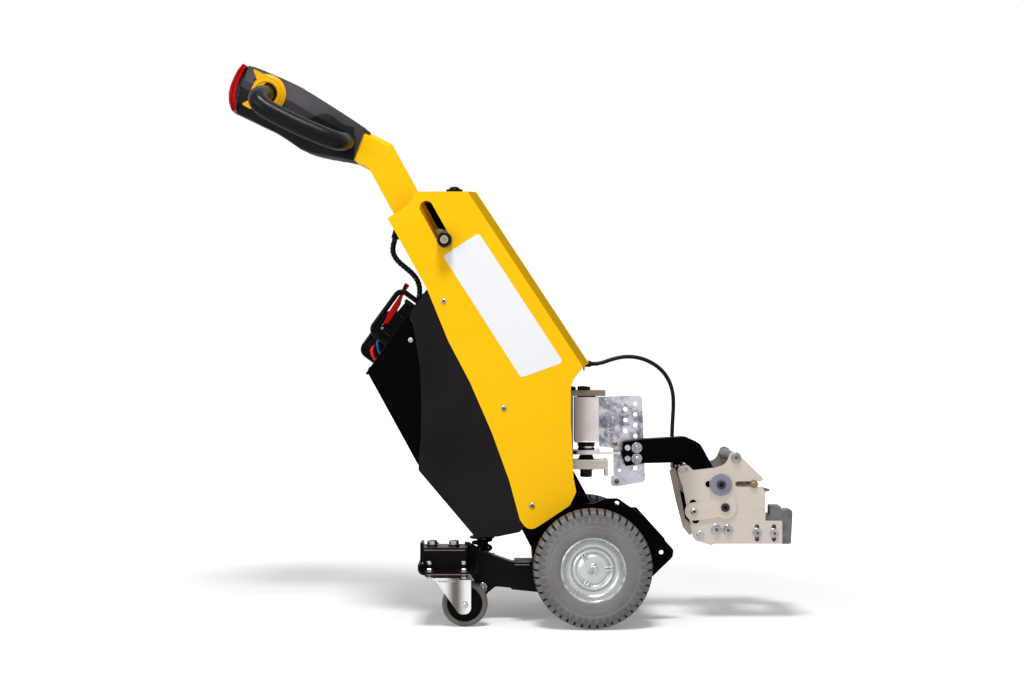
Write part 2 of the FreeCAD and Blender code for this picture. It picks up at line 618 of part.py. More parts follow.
# ---- tiller ----------------------------------------------------------------------------------
def mast_tube(wall):
    """The mast's outline, drawn in by a wall thickness, swept up and round its bend."""
    back = wall
    front = MAST_DEPTH - wall
    half = MAST_WIDTH / 2 - wall
    bevel = MAST_BEVEL
    section = [(back, -half), (front - bevel, -half), (front, -half + bevel),
               (front, half - bevel), (front - bevel, half), (back, half)]
    foot = MAST_FOOT - ALONG * MAST_ENGAGED
    points = [foot + AHEAD * ahead + V(0, y, 0) for ahead, y in section]
    start = foot + AHEAD * (MAST_DEPTH / 2)
    bend = MAST_FOOT + AHEAD * (MAST_DEPTH / 2) + ALONG * BEND
    angle = math.radians(NECK_ANGLE)
    end = bend + V(-math.cos(angle), 0, math.sin(angle)) * NECK_LENGTH
    path = Part.makePolygon([start, bend, end])
    return path.makePipeShell([Part.makePolygon(points + points[:1])], True, False, 1)


def clamp_ahead():
    """How far the clamp bar's axis lies ahead of the mast's back, and up along it."""
    offset = V(KNOB[0], 0, KNOB[1]) - MAST_FOOT
    return offset.dot(AHEAD), offset.dot(ALONG)


def tiller():
    """The mast with its clamp, and the head with its button, throttles and side grips."""
    middle, up = clamp_ahead()
    block = prism([lean(CLAMP_BACK, up - CLAMP_HALF), lean(CLAMP_FRONT, up - CLAMP_HALF),
                   lean(CLAMP_FRONT, up + CLAMP_HALF), lean(CLAMP_BACK, up + CLAMP_HALF)],
                  -MAST_WIDTH / 2, MAST_WIDTH / 2)
    tube = mast_tube(0).cut(mast_tube(MAST_WALL)).cut(block)
    add("mast", tube.removeSplitter())
    sleeve = across(*KNOB, -SIDE_Y + 6, -MAST_WIDTH / 2 + 2, 12)
    bolt = across(*KNOB, -SIDE_Y - KNOB_REACH, -MAST_WIDTH / 2 + 2, 7)
    knob = across(*KNOB, -SIDE_Y - KNOB_REACH, -SIDE_Y - 2, KNOB_RADIUS)
    clamp = block.fuse([sleeve, bolt, knob])
    add("clamp_bar", clamp.removeSplitter())
    head()


def head():
    """The dark tiller head: a hollow housing with the pieces that sit on it."""
    half = HEAD_WIDTH / 2
    corners = BUTTON_EDGE + [(-795.5, 1139.6), (-753.5, 1119.7), (-696.5, 1093),
                             (-688.5, 1083.6), (-669.8, 1068.6), (-639.4, 1054.4),
                             (-609.3, 1045.1), (-574.4, 1040.5), (-526.5, 1032.3),
                             (-497.5, 1099.8), (-646.5, 1196.6), (-697.6, 1221),
                             (-768, 1249.5)]
    inner = Part.Face(outline(corners, "xz", -half + HEAD_WALL)).makeOffset2D(-HEAD_WALL)
    hollow = inner.extrude(V(0, 2 * (half - HEAD_WALL), 0))
    shell = prism(corners, -half, half).cut(hollow).cut(mast_tube(0))
    add("head_shell", shell.removeSplitter())
    button = [(-787.3, 1253.7), (-808, 1222), (-821.1, 1187.2), (-820, 1165), (-812.9, 1146)]
    add("belly_button", prism(button + BUTTON_EDGE[::-1], -half + 8, half - 8))
    x, z = THROTTLE
    ring = across(x, z, -half - 11, -half, 44)
    for tip, base in (((-757, 1236), 30), ((-783, 1157), 30)):
        away = V(tip[0] - x, 0, tip[1] - z).normalize()
        side = V(-away.z, 0, away.x) * base
        wing = [tip, (x + side.x, z + side.z), (x - side.x, z - side.z)]
        ring = ring.fuse(prism(wing, -half - 11, -half))
    ring = ring.cut(across(x, z, -half - 12, -half + 1, GRIP_DIAMETER / 2 + 5))
    add_pair("throttle", ring.removeSplitter())
    grip = [V(x, -half + 6, z), V(x - 14, -GRIP_REACH, z - 19), V(-562, -GRIP_REACH, 1064),
            V(-550, -half + 6, 1080)]
    tube = bent_bar(grip, [44, 40], GRIP_DIAMETER / 2)
    add_pair("grip", tube.cut(prism(corners, -half, half)))


# ---- coupling --------------------------------------------------------------------------------
def spine_block():
    """The spine's outer space, without the hollow."""
    corners = [lean(SPINE_BACK, -140), lean(SPINE_FRONT, -140), lean(SPINE_FRONT, -860),
               lean(SPINE_BACK, -860)]
    return prism(corners, -SPINE_HALF, SPINE_HALF)


def clevis():
    """The fixed plates on the spine's front and the bolt that stands through them."""
    radius = PIVOT_DIAMETER / 2
    spine_space = spine_block()
    hole = upright(COUPLING_X, 0, 300, 540, radius)
    top = box((-150, 36), (-CLEVIS_HALF, CLEVIS_HALF), CLEVIS_TOP)
    cheek = prism([(CHEEK_FRONT, 350), (CHEEK_FRONT, CLEVIS_TOP[1]), (-150, CLEVIS_TOP[1]),
                   (-60, 350)], -CLEVIS_HALF - 5, -CLEVIS_HALF)
    top = top.fuse([cheek, mirrored(cheek)])
    base = box((-80, 42), (-BASE_HALF, BASE_HALF), CLEVIS_BASE)
    lip = box((35, 42), (-BASE_HALF, BASE_HALF), (319, SWING_Z[0] - 11))
    add("clevis_top", largest(top.cut(spine_space).cut(hole)))
    add("clevis_base", largest(base.fuse(lip).cut(spine_space).cut(hole).removeSplitter()))
    shank = upright(COUPLING_X, 0, 316, 522, radius)
    bolt_head = upright(COUPLING_X, 0, CLEVIS_TOP[1], 522, 15)
    nut = upright(COUPLING_X, 0, 316, CLEVIS_BASE[0], 16)
    washer = upright(COUPLING_X, 0, CLEVIS_BASE[1], 365.7, 18)
    add("pivot_bolt", shank.fuse([bolt_head, nut, washer]).removeSplitter())


def largest(shape):
    """The biggest solid of a cut piece."""
    return max(shape.Solids, key=lambda solid: solid.Volume)


def coupling():
    """The swinging square tube, the hole plate on its flange and the arm bolted to it."""
    half = PIVOT_TUBE / 2
    x = (COUPLING_X - half, COUPLING_X + half)
    wall = TUBE_WALL
    tube = box(x, (-half, half), TUBE_Z)
    hollow = box((x[0] + wall, x[1] - wall), (-half + wall, half - wall),
                 (TUBE_Z[0] + wall, TUBE_Z[1] - wall))
    bush = upright(COUPLING_X, 0, SWING_Z[1], TUBE_Z[0], 18)
    swing = prism([(x[0] - 4, -half, 12), (x[1] + 3, -half), (x[1] + 3, half),
                   (x[0] - 4, half, 12)], *SWING_Z, "xy")
    tongue = box((x[1], TONGUE_END), (-15, 15), (SWING_Z[0], SWING_Z[0] + 4))
    flange = box((x[1] - 2, 66), (PLATE_Y[1], PLATE_Y[1] + 6), (404, 494))
    bore = upright(COUPLING_X, 0, 360, 500, PIVOT_DIAMETER / 2 + TURN_GAP)
    tube = tube.cut(hollow).fuse([bush, swing, tongue, flange]).cut(bore)
    add("pivot_tube", tube.removeSplitter())
    corners = [(24, 497), (122.5, 500.5, 9), (130, 302, 9), (68, 292, 6), (51.5, 292, 7),
               (51.5, 314), (57.5, 316), (56.5, 379.5), (24, 383)]
    plate = prism(corners, *PLATE_Y)
    for x_hole, top, count in HOLE_ROWS:
        for row in range(count):
            z_hole = top - row * HOLE_PITCH
            plate = plate.cut(across(x_hole, z_hole, PLATE_Y[0] - 1, PLATE_Y[1] + 1, 5))
    plate = plate.cut(across(71.3, 328.3, PLATE_Y[0] - 1, PLATE_Y[1] + 1, 3.5))
    add("hole_plate", plate)
    arm()


def arm():
    """The black curved box arm, with the cross blocks that hold the hitch plates."""
    corners = [(82.5, 341, 4), (73.5, 366, 30), (77.2, 396, 5), (121.5, 402.3), (218.2, 408.1, 32),
               (251.5, 392.5, 26), (283, 335, 4), (SPREADER_X[1], 322),
               (SPREADER_X[1], SPREADER_Z[0]), (SPREADER_X[0], SPREADER_Z[0]),
               (SPREADER_X[0], 333.3, 8), (214.1, 349.6, 10), (121.5, 347.5)]
    half = ARM_WIDTH / 2
    inner = Part.Face(outline(corners, "xz", -half + ARM_WALL)).makeOffset2D(-ARM_WALL)
    tube = prism(corners, -half, half).cut(inner.extrude(V(0, ARM_WIDTH - 2 * ARM_WALL, 0)))
    block = box(SPREADER_X, (-HITCH_IN, -half), SPREADER_Z)
    add("arm", tube.fuse([block, mirrored(block)]).removeSplitter())


# ---- hitch -----------------------------------------------------------------------------------
def hitch_plates():
    """The two stainless side plates with the slots of the latch."""
    corners = [(193.4, 333), (196.5, 346, 6), (216.1, 349, 8), (227.5, 337.3, 6),
               (277.3, 342.8), (300, 350, 20), (312, 377.5, 10), (322.7, 380, 10),
               (334, 368), (385.5, 317.9, 3), (380.6, 313.4), (372.8, 306.5),
               (388.6, 297.4), (396.7, 294.1, 2), (388.6, 290), (388.6, 224.8),
               (426, 224.8, 3), (426, 173.6, 3), (276.2, 173.6), (268.2, 170.3),
               (233, 180.5, 8), (226.4, 190), (204.8, 299.9)]
    outer = -HITCH_WIDTH / 2
    plate = prism(corners, outer, -HITCH_IN)
    z = CRANK_TOP[1]
    low = outer - 1
    high = -HITCH_IN + 1
    cuts = [slot((CRANK_TOP[0] - LATCH_TRAVEL - 1, z), (CRANK_TOP[0] + LATCH_TRAVEL, z), 8.5,
                 low, high),
            slot((228.0, 263.0), (232.4, 229.5), 8.0, low, high),
            slot((327.8, LATCH_PIN[1]), (378.0, LATCH_PIN[1]), 6.2, low, high),
            across(*CRANK_PIVOT, low, high, 6)]
    for x in (369.9, 407.6):
        cuts.append(slot((x, 184.0), (x, 212.0), 5.0, low, high))
    for cut in cuts:
        plate = plate.cut(cut)
    add_pair("hitch_plate", plate)


def hitch_core():
    """What stands between the plates: ear tube, tie box, jaw and the crank's pivot."""
    add("ear_tube", across(319, 364, -HITCH_IN, HITCH_IN, 12))
    tie = box((266, 318), (-HITCH_IN, HITCH_IN), (186, 222))
    add("hitch_tie", tie.cut(box((271, 313), (-HITCH_IN, HITCH_IN), (191, 217))))
    block = prism([(400, 182), (400, 257.8, 3), (422.7, 257.8, 3), (426.3, 248),
                   (448, 249.8, 5), (450, 240, 4), (446.5, 172.5, 4), (426.5, 172.5),
                   (426.5, 182)], -HITCH_IN, -HITCH_IN + JAW_BLOCK)
    rail = box((400, 445), (-HITCH_IN + JAW_BLOCK, HITCH_IN), (183, 213))
    shelf = [(352, 180), (352, 219), (388.6, 224.8), (388.6, 236), (400, 236), (400, 182)]
    cheek = prism(shelf, -HITCH_IN, -HITCH_IN + 18)
    add("jaw", block.fuse([rail, cheek, mirrored(cheek)]).removeSplitter())
    end = HITCH_WIDTH / 2 + CRANK_SHEET + 1
    add("crank_pivot", across(*CRANK_PIVOT, -end, end, 6))


def latch():
    """The bell crank outside the right plate with its two rods, and the bar that it slides."""
    near = -HITCH_WIDTH / 2 - 0.5
    far = near - CRANK_SHEET
    arms = [slot(CRANK_PIVOT, CRANK_LOW, 20, far, near),
            slot(CRANK_PIVOT, CRANK_TOP, 25, far, near)]
    disc = across(*CRANK_TOP, far - 6, far, 24)
    side = arms[0].fuse([arms[1], disc])
    side = side.cut(across(*CRANK_PIVOT, far - 7, near + 1, 6 + TURN_GAP))
    rods = [across(*CRANK_LOW, far, -far, ROD), across(*CRANK_TOP, far, -far, ROD)]
    add("crank_right", side.fuse(rods).removeSplitter())
    x, z = LATCH_PIN
    strip = box((CRANK_TOP[0] - 11, x + 8), (-6, 6), (z - 9, z + 9))
    eye = slot((CRANK_TOP[0], z - 4.5), (CRANK_TOP[0], z + 1.5), ROD + 0.7, -7, 7)
    pin = across(x, z, near - 4, -near + 4, ROD)
    caps = across(x, z, near - 4, near, 9)
    bar_piece = strip.cut(eye).fuse([pin, caps, mirrored(caps)])
    add("latch_bar", bar_piece.removeSplitter())


def front_cable():
    """The cable that arches from the cover's front corner to the top of the arm."""
    add("front_gland", bar(V(GLAND_X[0], 0, GLAND_Z), V(GLAND_X[1], 0, GLAND_Z), GLAND_RADIUS))
    route = [V(GLAND_X[1], 0, GLAND_Z), V(24, 0, GLAND_Z), V(50, 0, 583), V(80, 0, 590),
             V(110, 0, 588.5), V(138, 0, 579), V(163, 0, 562.5), V(181.5, 0, 538.5),
             V(191.5, 0, 509), V(193, 0, 477.5), V(190.5, 0, 442.5), V(189.2, 0, 407.3)]
    add("front_cable", cord("front_cable", route, LEAD_DIAMETER))


# ---- build -------------------------------------------------------------------------------------
CORDS = ("rear_cable", "front_cable")


def build():
    """Make every piece, centre the machine over the origin and write the STEP files."""
    for make in (main_wheels, drive_unit, gussets, spine, rear_arm, spring, caster_beam,
                 casters, side_panels, front_cover, rear_cover, battery, rear_cable, tiller,
                 clevis, coupling, hitch_plates, hitch_core, latch, front_cable):
        make()
    firm = [shape.BoundBox for name, shape in pieces.items() if name not in CORDS]
    middle = (min(b.XMin for b in firm) + max(b.XMax for b in firm)) / 2
    print("the origin is", round(-middle, 4), "mm ahead of", "the main axle, turned round")
    os.makedirs("parts", exist_ok=True)
    for name, shape in pieces.items():
        shape.translate(V(-middle, 0, 0))
        solids = shape.Solids
        if len(solids) != 1 or not shape.isValid():
            print("look at", name, "solids", len(solids), "valid", shape.isValid())
        shape.exportStep("parts/" + name + ".step")


build()
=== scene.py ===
"""A pedestrian electric tow tug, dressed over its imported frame.

Lengths inside the classes are millimetres from the main axle's middle and the floor, and
`at` turns them into the frame's metres. Each sub-assembly is a class whose fields are its
sizes; each finish is a frozen dataclass that writes one procedural material.
"""

import enum
import logging
import math
import random
from dataclasses import dataclass
from typing import Callable, Iterable, Sequence

import bmesh
import bpy
from mathutils import Matrix, Vector


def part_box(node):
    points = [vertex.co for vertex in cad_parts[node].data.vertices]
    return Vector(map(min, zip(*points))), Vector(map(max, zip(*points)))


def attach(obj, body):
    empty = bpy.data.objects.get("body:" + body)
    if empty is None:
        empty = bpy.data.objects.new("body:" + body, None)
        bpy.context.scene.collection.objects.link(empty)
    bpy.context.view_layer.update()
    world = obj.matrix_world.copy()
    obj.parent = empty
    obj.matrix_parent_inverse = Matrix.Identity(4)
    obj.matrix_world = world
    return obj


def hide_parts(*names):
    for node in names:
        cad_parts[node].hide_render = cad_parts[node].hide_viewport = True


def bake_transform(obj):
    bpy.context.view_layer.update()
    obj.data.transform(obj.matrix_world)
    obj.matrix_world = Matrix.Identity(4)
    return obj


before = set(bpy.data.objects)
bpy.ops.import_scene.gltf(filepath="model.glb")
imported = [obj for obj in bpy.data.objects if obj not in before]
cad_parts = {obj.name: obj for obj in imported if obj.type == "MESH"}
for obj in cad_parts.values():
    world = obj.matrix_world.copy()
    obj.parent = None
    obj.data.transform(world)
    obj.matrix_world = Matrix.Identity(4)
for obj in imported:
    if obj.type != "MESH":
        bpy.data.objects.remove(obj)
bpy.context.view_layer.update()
AXLE_X = sum(corner.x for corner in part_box("tyre_right")) / 2
MILLIMETRE = 0.001
LEAN_ANGLE = math.radians(61.3)
LOG = logging.getLogger("tow_tug")

UP = Vector((0, 0, 1))
NEAR = Vector((0, -1, 0))
FORWARD = Vector((1, 0, 0))
AXLE = Vector((0, 1, 0))
SRGB_TOE = 0.04045
GLOSS_DRIFT = 0.07
SMUDGE_SCALE = 2.3
WELD_DISTANCE = 1e-5
LEAST_RADIUS = 0.02
FULL_TURN = 2 * math.pi

Socket = bpy.types.NodeSocket
Pair = tuple[float, float]
Profile = Sequence[Pair]
Colour = tuple[int, int, int]


class Side(enum.Enum):
    """A side of the machine, with the sign of its Y."""

    RIGHT = -1
    LEFT = 1

    @property
    def word(self) -> str:
        """The side's name as the frame's nodes end."""
        return self.name.lower()

    @property
    def out(self) -> Vector:
        """The direction out of the machine on this side."""
        return Vector((0, self.value, 0))


class Plane(enum.Enum):
    """The plane an outline is drawn in."""

    SIDE = "xz"
    FLOOR = "xy"


class Grain(enum.Enum):
    """The fine relief of a finish: each bump's noise scale, detail, strength and depth."""

    NONE = ()
    POWDER = ((900.0, 2.0, 0.10, 0.0004), (60.0, 2.0, 0.04, 0.0010))
    MOULDED = ((1500.0, 3.0, 0.22, 0.0004),)
    RUBBER = ((450.0, 5.0, 0.30, 0.0006), (40.0, 3.0, 0.10, 0.0015))
    BRUSHED = ((120.0, 4.0, 0.16, 0.0003),)
    PRESSED = ((140.0, 4.0, 0.10, 0.0006),)
    CAST = ((320.0, 6.0, 0.55, 0.0008),)


class Head(enum.Enum):
    """The kind of head a fastener shows."""

    HEXAGON = "hexagon"
    SOCKET = "socket"
    BUTTON = "button"
    NUT = "nut"
    PIN = "pin"


def at(x: float, y: float, z: float) -> Vector:
    """A point of the machine in the frame's metres."""
    return Vector((x * MILLIMETRE + AXLE_X, y * MILLIMETRE, z * MILLIMETRE))


def towards(x: float, y: float, z: float) -> Vector:
    """A direction in the machine, as a unit vector."""
    return Vector((x, y, z)).normalized()


ALONG = towards(-math.cos(LEAN_ANGLE), 0, math.sin(LEAN_ANGLE))
AHEAD = towards(math.sin(LEAN_ANGLE), 0, math.cos(LEAN_ANGLE))
SLOPE = Vector((-442.2, 0.0, 911.6))
LID_FOOT = Vector((-499.4, 0.0, 554.4))
LID_RISE = towards(134.6, 0, 185.1)
LID_OUT = towards(-185.1, 0, 134.6)


def lean(ahead: float, up: float, y: float = 0.0) -> Vector:
    """A point ahead of the mast's rear face and up along the mast, in millimetres."""
    return SLOPE + AHEAD * ahead + ALONG * up + Vector((0, y, 0))


def on_lid(along: float, out: float, y: float) -> Vector:
    """A point up the battery lid's slope, out from it and across, in millimetres."""
    return LID_FOOT + LID_RISE * along + LID_OUT * out + Vector((0, y, 0))


def linear(red: int, green: int, blue: int) -> tuple[float, ...]:
    """A colour of 0 to 255 display values as linear light."""
    shares = (value / 255 for value in (red, green, blue))
    return tuple(s / 12.92 if s <= SRGB_TOE else ((s + 0.055) / 1.055) ** 2.4 for s in shares)


def rounded(corners: Sequence[Sequence[float]], steps: int = 6) -> list[Pair]:
    """An outline whose corners turn through arcs.

    Args:
        corners: (a, b) or (a, b, radius) for each corner, in order.
        steps: Pieces in each arc.

    Returns:
        The points of the closed outline.
    """
    points = []
    for i, corner in enumerate(corners):
        here = Vector(corner[:2])
        if len(corner) < 3 or not corner[2]:
            points.append(tuple(here))
            continue
        back = (Vector(corners[i - 1][:2]) - here).normalized()
        ahead = (Vector(corners[(i + 1) % len(corners)][:2]) - here).normalized()
        half = back.angle(ahead) / 2
        middle = here + (back + ahead).normalized() * corner[2] / math.sin(half)
        start = here + back * corner[2] / math.tan(half) - middle
        end = here + ahead * corner[2] / math.tan(half) - middle
        turn = start.angle_signed(end)
        for step in range(steps + 1):
            angle = -turn * step / steps
            points.append(tuple(middle + Matrix.Rotation(angle, 2) @ start))
    return points


def spoke(angle: float) -> Vector:
    """The direction at an angle in the machine's side view."""
    return Vector((math.cos(angle), 0, math.sin(angle)))


def stand(name: str, data: bpy.types.ID | None) -> bpy.types.Object:
    """A new object in the scene that holds a mesh, a lamp or a camera.

    Args:
        name: Its name.
        data: What it holds.

    Returns:
        The new object.
    """
    thing = bpy.data.objects.new(name, data)
    bpy.context.scene.collection.objects.link(thing)
    return thing


def follow(name: str, controls: Sequence[Vector], order: int, fineness: int) -> list[Vector]:
    """The points of a smooth line that is led by control points.

    Args:
        name: The line's name.
        controls: Control points of the spline, in metres.
        order: The spline's order.
        fineness: Steps between two control points.

    Returns:
        Points along the spline, close together.
    """
    curve = bpy.data.curves.new(name + "_line", "CURVE")
    curve.dimensions = "3D"
    spline = curve.splines.new("NURBS")
    spline.points.add(len(controls) - 1)
    for control, point in zip(spline.points, controls):
        control.co = (*point, 1.0)
    spline.order_u = order
    spline.use_endpoint_u = True
    spline.resolution_u = fineness
    line = bpy.data.objects.new(name + "_line", curve)
    mesh = bpy.data.meshes.new_from_object(line)
    followed = [vertex.co.copy() for vertex in mesh.vertices]
    bpy.data.objects.remove(line)
    bpy.data.meshes.remove(mesh)
    return followed


def share_of(steps: int) -> list[float]:
    """The shares of the way from nought to one in equal steps."""
    return [step / steps for step in range(steps + 1)]


def beads(source: random.Random, least: float, spread: float) -> Callable[[float, float], float]:
    """A swell that makes a weld bead uneven at random."""
    return lambda share, angle: least + spread * source.random()


def mirrored(half: Sequence[Pair], shared: int = 0) -> list:
    """A half profile and its mirror image, whose last points may be shared."""
    return [*half, *((radius, -height) for radius, height in reversed(half[:len(half) - shared]))]


# ---- finishes ------------------------------------------------------------------------------
class Graph:
    """A material's node tree with short calls for the nodes that the finishes use."""

    def __init__(self, name: str) -> None:
        """Start a material with a Principled shader on its output.

        Args:
            name: The material's name.
        """
        self.material = bpy.data.materials.new(name)
        self.material.use_nodes = True
        self.tree = self.material.node_tree
        self.tree.nodes.clear()
        self.shader = self.add("ShaderNodeBsdfPrincipled")
        self.join(self.shader.outputs[0], self.add("ShaderNodeOutputMaterial").inputs[0])
        self.place = self.add("ShaderNodeTexCoord").outputs["Object"]

    def add(self, kind: str, **settings: object) -> bpy.types.Node:
        """A new node of a kind, with its settings.

        Args:
            kind: The node's type.
            settings: Its properties by their names.

        Returns:
            The new node.
        """
        node = self.tree.nodes.new(kind)
        for key, value in settings.items():
            setattr(node, key, value)
        return node

    def join(self, source: object, target: Socket) -> None:
        """Link a socket to another, or set a plain value on it.

        Args:
            source: A socket or a plain value.
            target: The input that takes it.
        """
        if isinstance(source, Socket):
            self.tree.links.new(source, target)
        elif isinstance(source, tuple) and len(source) == 3 and target.type == "RGBA":
            target.default_value = (*source, 1.0)
        else:
            target.default_value = source

    def fill(self, node: bpy.types.Node, **values: object) -> Socket:
        """Give a node's inputs sockets or plain values.

        Args:
            node: The node.
            values: A value by each input's name, with _ for a space.

        Returns:
            The node's first output.
        """
        for key, value in values.items():
            self.join(value, node.inputs[key.replace("_", " ")])
        return node.outputs[0]

    def math(self, kind: str, first: object, second: object = 0.0) -> Socket:
        """The result of a Math node on two values.

        Args:
            kind: The operation.
            first: A socket or a number.
            second: A socket or a number.

        Returns:
            The result's socket.
        """
        node = self.add("ShaderNodeMath", operation=kind)
        self.join(first, node.inputs[0])
        self.join(second, node.inputs[1])
        return node.outputs[0]

    def stretch(self, scale: tuple[float, float, float]) -> Socket:
        """The object's own coordinates, scaled along each axis."""
        return self.fill(self.add("ShaderNodeMapping"), Vector=self.place, Scale=scale)

    def noise(self, scale: float, detail: float = 3.0, vector: object = None,
              rough: float = 0.55) -> Socket:
        """Fractal noise from 0 to 1 over the object."""
        return self.fill(self.add("ShaderNodeTexNoise"), Vector=vector or self.place,
                         Scale=scale, Detail=detail, Roughness=rough)

    def span(self, value: object, low: float, high: float, to_low: float = 0.0,
             to_high: float = 1.0) -> Socket:
        """A value carried smoothly from one span to another, held at its ends.

        Args:
            value: A socket or a number.
            low: Where the first span starts.
            high: Where it ends.
            to_low: The result at the start.
            to_high: The result at the end.

        Returns:
            The result's socket.
        """
        node = self.add("ShaderNodeMapRange", interpolation_type="SMOOTHSTEP")
        return self.fill(node, Value=value, From_Min=low, From_Max=high, To_Min=to_low,
                         To_Max=to_high)

    def mix(self, share: object, first: object, second: object) -> Socket:
        """Two colours mixed by a share; a plain one is given in display values.

        Args:
            share: The second colour's share.
            first: A socket or a colour.
            second: A socket or a colour.

        Returns:
            The mixed colour's socket.
        """
        node = self.add("ShaderNodeMix", data_type="RGBA")
        self.join(share, node.inputs[0])
        for number, colour in ((6, first), (7, second)):
            self.join(linear(*colour) if isinstance(colour, tuple) else colour,
                      node.inputs[number])
        return node.outputs[2]

    def axis(self, letter: str) -> Socket:
        """One of the object's own coordinates, in metres.

        Args:
            letter: X, Y or Z.

        Returns:
            The coordinate's socket.
        """
        node = self.add("ShaderNodeSeparateXYZ")
        self.join(self.place, node.inputs[0])
        return node.outputs[letter]

    def ahead(self, x: float) -> Socket:
        """How far in metres it is ahead of a place in millimetres."""
        return self.math("SUBTRACT", self.axis("X"), at(x, 0, 0).x)

    def away(self, x: float, z: float) -> Socket:
        """The distance in metres from an axis along Y through a point in millimetres.

        Args:
            x: The point's X.
            z: The point's Z.

        Returns:
            The distance's socket.
        """
        across = self.ahead(x)
        upward = self.math("SUBTRACT", self.axis("Z"), z * MILLIMETRE)
        square = self.math("ADD", self.math("MULTIPLY", across, across),
                           self.math("MULTIPLY", upward, upward))
        return self.math("SQRT", square)

    def bump(self, height: object, strength: float, depth: float) -> None:
        """Relief on the shader from a height, its depth in metres; later calls add to it.

        Args:
            height: The socket of the height, from 0 to 1.
            strength: Its share, from 0 to 1.
            depth: Its full depth in metres.
        """
        node = self.add("ShaderNodeBump")
        self.fill(node, Strength=strength, Distance=depth, Height=height)
        normal = self.shader.inputs["Normal"]
        if normal.is_linked:
            self.join(normal.links[0].from_socket, node.inputs["Normal"])
        self.join(node.outputs[0], normal)


@dataclass(frozen=True)
class Finish:
    """A surface finish: its colour and how that varies, its gloss and its fine relief."""

    name: str
    colour: Colour
    tint: Colour
    roughness: float = 0.45
    metallic: float = 0.0
    patch: float = 14.0
    share: float = 0.25
    grain: Grain = Grain.NONE
    along: tuple[float, float, float] = (1.0, 1.0, 1.0)
    specular: float = 0.5

    def material(self) -> bpy.types.Material:
        """The finish's material, made once."""
        return bpy.data.materials.get(self.name) or self.build()

    def build(self) -> bpy.types.Material:
        """Write the material: colour patches, gloss variation and relief.

        Returns:
            The new material.
        """
        graph = Graph(self.name)
        graph.fill(graph.shader, Base_Color=self.colours(graph))
        smudge = graph.noise(self.patch * SMUDGE_SCALE, 4.0)
        gloss = graph.span(smudge, 0.3, 0.7, max(0.03, self.roughness - GLOSS_DRIFT),
                           min(1.0, self.roughness + GLOSS_DRIFT))
        graph.fill(graph.shader, Roughness=gloss, Metallic=self.metallic,
                   Specular_IOR_Level=self.specular)
        self.relief(graph)
        return graph.material

    def colours(self, graph: Graph) -> Socket:
        """The base colour, drifting towards the tint in soft patches."""
        cloud = graph.noise(self.patch, 5.0, graph.stretch(self.along))
        return graph.mix(graph.span(cloud, 0.35, 0.75, 0.0, self.share), self.colour, self.tint)

    def relief(self, graph: Graph) -> None:
        """The relief of the finish's grain; brushing runs along the finish.

        Args:
            graph: The material being written.
        """
        line = {}
        if self.grain is Grain.BRUSHED:
            line = {"vector": graph.stretch(self.along), "rough": 0.7}
        for scale, detail, strength, depth in self.grain.value:
            graph.bump(graph.noise(scale, detail, **line), strength, depth)


@dataclass(frozen=True)
class TyreRubber(Finish):
    """Grey rubber, dust-brown on its tread and in rings on its wall; painted shade in its slots."""

    dust: Colour = (108, 88, 74)
    # Painted shade: the near-black colour laid in the floors of the tread slots.
    slot: Colour = (44, 38, 34)
    blocks: int = 46
    hub_height: float = 130.0
    tread_span: Pair = (0.1268, 0.1310)
    slot_span: Pair = (0.115, 0.122)
    slot_share: Pair = (0.345, 0.375)
    ring_scale: float = 26.0

    def colours(self, graph: Graph) -> Socket:
        """Grey with dust by the distance from the axle, and painted shade in the slots.

        Args:
            graph: The material being written.

        Returns:
            The colour's socket.
        """
        grey = super().colours(graph)
        away = graph.away(0.0, self.hub_height)
        worn = graph.math("ADD", away, graph.math("MULTIPLY", graph.noise(30.0), 0.004))
        tread = graph.span(worn, *self.tread_span, 0.0, 0.75)
        rings = graph.add("ShaderNodeTexWave", wave_type="RINGS", rings_direction="Y",
                          bands_direction="X")
        centred = graph.add("ShaderNodeVectorMath", operation="SUBTRACT")
        graph.join(graph.place, centred.inputs[0])
        centred.inputs[1].default_value = at(0, 0, self.hub_height)
        graph.fill(rings, Scale=self.ring_scale, Distortion=0.4, Vector=centred.outputs[0])
        film = graph.math("MULTIPLY", graph.span(rings.outputs[1], 0.86, 1.0, 0.0, 0.28),
                          graph.span(graph.noise(9.0, 4.0), 0.4, 0.65))
        turn = graph.math("MULTIPLY", self.turned(graph), self.blocks / (FULL_TURN))
        part = graph.math("ABSOLUTE", graph.math("SUBTRACT", graph.math("FRACT", turn), 0.5))
        # The share of painted shade: where a slot's floor lies.
        slot = graph.math("MULTIPLY", graph.span(part, *self.slot_share),
                          graph.span(away, *self.slot_span))
        clean = graph.mix(tread, graph.mix(film, grey, self.dust), self.dust)
        return graph.mix(slot, clean, self.slot)

    def turned(self, graph: Graph) -> Socket:
        """The angle round the axle in radians, counted from straight ahead."""
        rise = graph.math("SUBTRACT", graph.axis("Z"), self.hub_height * MILLIMETRE)
        return graph.math("ARCTAN2", rise, graph.ahead(0.0))


@dataclass(frozen=True)
class ZincPlate(Finish):
    """Passivated zinc: cloudy blue, straw and violet patches and fine scratches."""

    straw: Colour = (176, 170, 150)
    violet: Colour = (122, 120, 146)
    stain: float = 0.6

    def colours(self, graph: Graph) -> Socket:
        """Zinc colour with clouds of straw and violet.

        Args:
            graph: The material being written.

        Returns:
            The colour's socket.
        """
        base = super().colours(graph)
        cloud = graph.noise(self.patch * 1.7, 6.0, None, 0.7)
        stained = graph.mix(graph.span(cloud, 0.42, 0.62, 0.0, self.stain), base, self.violet)
        second = graph.noise(self.patch * 2.9, 5.0)
        return graph.mix(graph.span(second, 0.52, 0.70, 0.0, self.stain), stained, self.straw)


